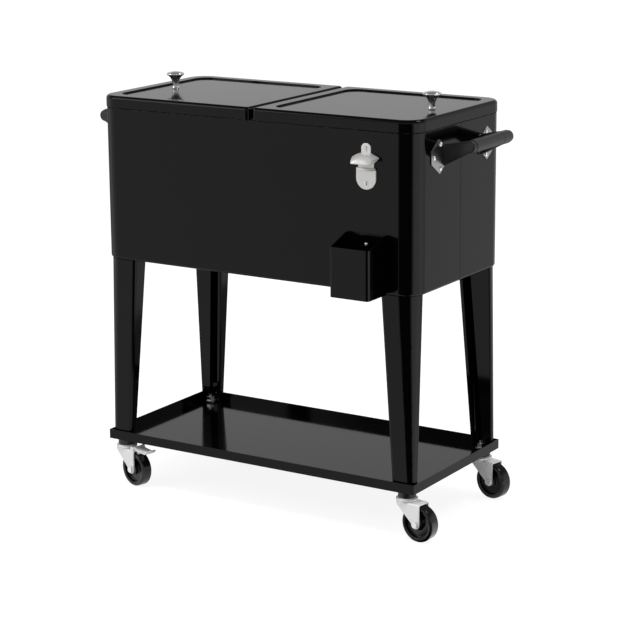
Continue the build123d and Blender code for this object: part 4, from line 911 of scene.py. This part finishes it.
@dataclass
class FrontFittings:
    """Bottle opener, cap catcher and their screws.

    Heights of the opener are measured down from the top of its tab, and widths are half widths.
    Cast_edge and bin_edge are widths of roundings, in millimetres.
    """

    screws: Screws = field(default_factory=lambda: Screws(
        "front_panel_screws", Vector((0.0, 1.0, 0.0)), head=4.25 * MM, head_height=2.5 * MM,
        socket=1.9 * MM, shank=2.0 * MM))
    cast_edge: float = 0.7
    bin_edge: float = 0.6
    sheet: float = 3.0 * MM
    # Half width of the tab and the rounding of its corners
    tab: tuple[float, float] = (10.5 * MM, 9.5 * MM)
    plate: float = 22.0 * MM
    plate_flat: float = 0.1 * MM
    # Roundings of the outline from the tab's foot down to the plate's shoulder
    rounds: tuple[float, ...] = (1.0 * MM, 2.0 * MM, 2.0 * MM, 2.0 * MM, 3.0 * MM)
    outline_steps: int = 10
    # Top of the hood, half width and height of its tip, and half width, reach and height of its brim
    hood_drop: float = 19.0 * MM
    tip: tuple[float, float] = (29.6 * MM, 27.0 * MM)
    brim: tuple[float, float, float] = (22.6 * MM, 24.0 * MM, 38.0 * MM)
    # Share of the hood that hangs on the tab, bend of its shoulders and set-back of the brim's ends
    tab_share: float = 0.35
    shoulder: float = 1.3
    set_back: tuple[float, int] = (3.0 * MM, 8)
    hood_steps: int = 14
    waist: float = 17.5 * MM
    # Half width, top and foot of the lower lip, its depth at the ends and its bulge
    lip: tuple[float, float, float] = (20.8 * MM, 47.5 * MM, 52.0 * MM)
    lip_depth: float = 2.0 * MM
    lip_bulge: float = 5.0 * MM
    lip_steps: int = 12

    def opener(self) -> None:
        """Cast the opener: a plate with a tab, a hood that droops to a straight brim, a lower lip."""
        low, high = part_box("bottle_opener")
        seat = Vector(((low.x + high.x) / 2, high.y, high.z))
        bm = bmesh.new()
        half = [(self.tab[0], 0.0), (self.tab[0], -self.hood_drop), (self.tip[0], -self.tip[1]),
                (self.waist, -self.brim[2]), (self.waist, -self.lip[1]), (self.plate, -self.lip[2]),
                (self.plate, low.z - high.z)]
        turns = [self.tab[1], *self.rounds, self.plate - self.plate_flat]
        mirrored = [(-x, z) for x, z in reversed(half)]
        outline = rounded(mirrored + half, turns[::-1] + turns, self.outline_steps)
        back = [seat + Vector((x, 0.0, z)) for x, z in outline]
        self.prism(bm, back, Vector((0.0, -self.sheet, 0.0)))
        self.hood(bm, seat - Vector((0.0, self.sheet, 0.0)))
        width, top, foot = self.lip
        arc = [k / self.lip_steps - 1.0 for k in range(2 * self.lip_steps + 1)]
        plan = [(width * k, self.sheet + self.lip_depth + self.lip_bulge * (1.0 - k * k)) for k in arc]
        ledge = [(-width, 0.0)] + plan + [(width, 0.0)]
        self.prism(bm, [seat + Vector((x, -y, -top)) for x, y in ledge], Vector((0.0, 0.0, top - foot)))
        bmesh.ops.recalc_face_normals(bm, faces=bm.faces[:])
        piece = Piece("bottle_opener_cast", bm).soften(self.cast_edge)
        piece.settle(OPENER, body_of("bottle_opener"), "bottle_opener")

    def prism(self, bm: bmesh.types.BMesh, outline: Sequence[Vector], way: Vector) -> None:
        """Add a straight prism that runs from an outline, given in order, along a way."""
        near = [bm.verts.new(spot) for spot in outline]
        far = [bm.verts.new(spot + way) for spot in outline]
        bm.faces.new(near)
        bm.faces.new(far[::-1])
        for k in range(len(near)):
            bm.faces.new((near[k - 1], near[k], far[k], far[k - 1]))

    def hood(self, bm: bmesh.types.BMesh, seat: Vector) -> None:
        """Add the hood as a shell that bends from the plate out to its brim.

        Args:
            bm: where the faces go.
            seat: middle of the plate's front at the top of the tab.
        """
        steps = self.hood_steps
        share = self.tab_share
        back, power = self.set_back
        rows = []
        for i in range(2 * steps + 1):
            across = i / steps - 1.0
            side = math.copysign(1.0, across)
            beyond = max(0.0, (abs(across) - share) / (1.0 - share))
            root_x = side * (self.tab[0] * min(1.0, abs(across) / share)
                             + (self.tip[0] - self.tab[0]) * beyond)
            root_z = -self.hood_drop - (self.tip[1] - self.hood_drop) * beyond ** self.shoulder
            reach = self.brim[1] - back * abs(across) ** power
            row = []
            for k in range(steps + 1):
                turn = k / steps * math.pi / 2.0
                fall = 1.0 - math.cos(turn)
                out = math.sin(turn)
                x = root_x + (self.brim[0] * across - root_x) * out
                z = root_z + (-self.brim[2] - root_z) * fall
                row.append(bm.verts.new(seat + Vector((x, -reach * out, z))))
            rows.append(row)
        faces = []
        for one, two in zip(rows, rows[1:]):
            for k in range(steps):
                faces.append(bm.faces.new((one[k], one[k + 1], two[k + 1], two[k])))
        bmesh.ops.recalc_face_normals(bm, faces=faces)
        bmesh.ops.solidify(bm, geom=faces, thickness=self.sheet)

    def dress(self, tree: NodeShape) -> None:
        """Finish the opener, the catcher and their screws, which come from the tree."""
        self.opener()
        dressed("cap_catcher", PAINT, self.bin_edge)
        self.screws.dress(tree)


@dataclass
class Drain:
    """Drain on the left end, with its pull-off cap and its edge rounding in millimetres."""

    edge: float = 0.4

    def dress(self) -> None:
        """Finish the drain and its cap."""
        dressed("drain_fitting", DRAIN, self.edge)
        dressed("drain_cap", DRAIN, self.edge)


@dataclass(frozen=True)
class Lamp:
    """One soft lamp: where it hangs, the point it faces, its width and height, and its watts.

    Mirrored says whether gloss shows its image.
    """

    name: str
    spot: Place
    aim: Place
    size: tuple[float, float]
    power: float
    mirrored: bool = True

    def hang(self) -> None:
        """Hang the lamp in the scene."""
        light = bpy.data.lights.new(self.name, "AREA")
        light.shape = "RECTANGLE"
        light.size, light.size_y = self.size
        light.energy = self.power
        thing = bpy.data.objects.new(self.name, light)
        thing.location = self.spot
        way = Vector(self.aim) - Vector(self.spot)
        thing.rotation_euler = way.to_track_quat("-Z", "Y").to_euler()
        thing.visible_glossy = self.mirrored
        bpy.context.scene.collection.objects.link(thing)


@dataclass
class Studio:
    """Floor, light and camera.

    Walls pairs bearings round a corner point, in degrees from the front, with the levels that gloss
    mirrors in the floor. Wall and ceiling are the levels that it mirrors above the floor, below and
    above the two heights of wall_top. Angles of the camera are in radians.
    """

    lens: float = 123.72
    sensor: float = 36.0
    eye: Place = (2.3268, -3.6019, 1.443)
    yaw: float = -0.565
    pitch: float = -0.2397
    roll: float = -0.008
    corner: tuple[float, float] = (0.37, -0.11)
    walls: tuple[tuple[float, float], ...] = (
        (-180.0, 0.2), (-104.0, 0.25), (-84.0, 0.95), (-26.0, 0.95), (-16.0, 0.02), (52.0, 0.02),
        (68.0, 1.7), (112.0, 1.75), (140.0, 0.72), (180.0, 0.8))
    wall: float = 0.62
    wall_top: tuple[float, float] = (0.36, 0.55)
    ceiling: float = 0.12
    fill: float = 0.6
    floor_half: float = 12.0
    floor_bounce: float = 0.4
    floor_shade: float = 0.26
    floor_glow: float = 0.88
    lamps: tuple[Lamp, ...] = (
        Lamp("overhead", (0.07, -0.85, 3.2), (0.0, 0.0, 0.4), (1.2, 1.2), 45.0, mirrored=False),
        Lamp("left_front", (-2.6, -2.6, 2.2), (0.0, 0.0, 0.5), (1.6, 2.2), 25.0),
        Lamp("back_right", (1.66, 0.93, 3.2), (0.2, 0.0, 0.5), (0.8, 0.8), 20.0))

    def set_up(self) -> None:
        """Build the studio."""
        self.floor()
        self.world()
        for lamp in self.lamps:
            lamp.hang()
        self.camera()
        bpy.context.scene.view_settings.view_transform = "Standard"

    def floor(self) -> None:
        """Lay a pale floor that keeps the shadows."""
        bm = bmesh.new()
        bmesh.ops.create_grid(bm, x_segments=1, y_segments=1, size=self.floor_half)
        mesh = bpy.data.meshes.new("studio_floor")
        bm.to_mesh(mesh)
        bm.free()
        floor = bpy.data.objects.new("studio_floor", mesh)
        bpy.context.scene.collection.objects.link(floor)
        made = bpy.data.materials.new("floor_pale")
        made.use_nodes = True
        made.node_tree.nodes.clear()
        graph = NodeGraph(made.node_tree)
        ground = graph.add("ShaderNodeBsdfDiffuse", {"Color": (*grey(self.floor_bounce), 1.0)})
        mirrored = graph.add("ShaderNodeEmission", {"Color": self.bearings(graph), "Strength": 1.0})
        shade = graph.add("ShaderNodeBsdfDiffuse", {"Color": (*grey(self.floor_shade), 1.0)})
        white = graph.add("ShaderNodeEmission", {"Strength": self.floor_glow})
        pale = graph.add("ShaderNodeAddShader", {0: shade.outputs[0], 1: white.outputs[0]})
        surface = self.by_ray(graph, ground, mirrored, pale)
        graph.add("ShaderNodeOutputMaterial", {"Surface": surface})
        mesh.materials.append(made)

    def bearings(self, graph: NodeGraph) -> Socket:
        """Add the nodes that shade the floor's image by its bearing, and return their colour."""
        corner_x, corner_y = self.corner
        spot = graph.add("ShaderNodeSeparateXYZ", {
            "Vector": graph.add("ShaderNodeTexCoord").outputs["Object"]})
        across = graph.add("ShaderNodeMath", {0: spot.outputs["X"], 1: corner_x}, operation="SUBTRACT")
        ahead = graph.add("ShaderNodeMath", {0: corner_y, 1: spot.outputs["Y"]}, operation="SUBTRACT")
        turn = graph.add("ShaderNodeMath", {0: across.outputs[0], 1: ahead.outputs[0]},
                         operation="ARCTAN2")
        part = graph.add("ShaderNodeMapRange", {
            "Value": turn.outputs[0], "From Min": -math.pi, "From Max": math.pi})
        ramp = graph.add("ShaderNodeValToRGB", {"Fac": part.outputs["Result"]})
        stops = ramp.color_ramp.elements
        while len(stops) < len(self.walls):
            stops.new(0.5)
        for stop, (degrees, level) in zip(stops, self.walls):
            stop.position = degrees / 360.0 + 0.5
            stop.color = (*grey(level), 1.0)
        return ramp.outputs["Color"]

    def by_ray(self, graph: NodeGraph, lit: bpy.types.Node, mirrored: bpy.types.Node,
               seen: bpy.types.Node) -> Socket:
        """Choose a shader by the kind of ray that meets it.

        Args:
            graph: the nodes of the floor or of the world.
            lit: what lights the part.
            mirrored: what gloss mirrors.
            seen: what the camera sees.

        Returns:
            The output of the choice.
        """
        rays = graph.add("ShaderNodeLightPath").outputs
        soft = graph.add("ShaderNodeMixShader", {
            0: rays["Is Glossy Ray"], 1: lit.outputs[0], 2: mirrored.outputs[0]})
        both = graph.add("ShaderNodeMixShader", {
            0: rays["Is Camera Ray"], 1: soft.outputs[0], 2: seen.outputs[0]})
        return both.outputs[0]

    def world(self) -> None:
        """Light all round: white to the camera, with pale walls and a dark ceiling for gloss."""
        world = bpy.data.worlds.new("studio_world")
        bpy.context.scene.world = world
        world.use_nodes = True
        world.node_tree.nodes.clear()
        graph = NodeGraph(world.node_tree)
        way = graph.add("ShaderNodeTexCoord").outputs["Generated"]
        parts = graph.add("ShaderNodeSeparateXYZ", {"Vector": way})
        level = graph.add("ShaderNodeMapRange", {
            "Value": parts.outputs["Z"], "From Min": self.wall_top[0], "From Max": self.wall_top[1],
            "To Min": self.wall, "To Max": self.ceiling})
        lit = graph.add("ShaderNodeBackground", {"Strength": self.fill})
        mirrored = graph.add("ShaderNodeBackground", {"Strength": level.outputs["Result"]})
        plain = graph.add("ShaderNodeBackground", {"Strength": 1.0})
        for node in (lit, mirrored, plain):
            node.inputs["Color"].default_value = (*grey(1.0), 1.0)
        graph.add("ShaderNodeOutputWorld", {"Surface": self.by_ray(graph, lit, mirrored, plain)})

    def camera(self) -> None:
        """Stand the camera where the photograph was taken from."""
        level = math.cos(self.pitch)
        ahead = Vector((math.sin(self.yaw) * level, math.cos(self.yaw) * level, math.sin(self.pitch)))
        right = ahead.cross(Vector((0.0, 0.0, 1.0))).normalized()
        up = right.cross(ahead)
        across = right * math.cos(self.roll) + up * math.sin(self.roll)
        above = up * math.cos(self.roll) - right * math.sin(self.roll)
        view = Matrix((across, above, -ahead)).transposed().to_4x4()
        lens = bpy.data.cameras.new("camera")
        lens.sensor_width = self.sensor
        lens.lens = self.lens
        eye = bpy.data.objects.new("camera", lens)
        eye.matrix_world = Matrix.Translation(self.eye) @ view
        bpy.context.scene.collection.objects.link(eye)
        bpy.context.scene.camera = eye


def main() -> None:
    """Build the whole look, piece by piece."""
    logging.basicConfig(level=logging.INFO, format="%(name)s: %(message)s")
    Chest().dress()
    for side in Side:
        Lid(side).dress()
    Stand().dress()
    Casters().dress()
    tree = socket_screws()
    Handles().dress(tree)
    FrontFittings().dress(tree)
    Drain().dress()
    Studio().set_up()


if __name__ == "__main__":
    main()
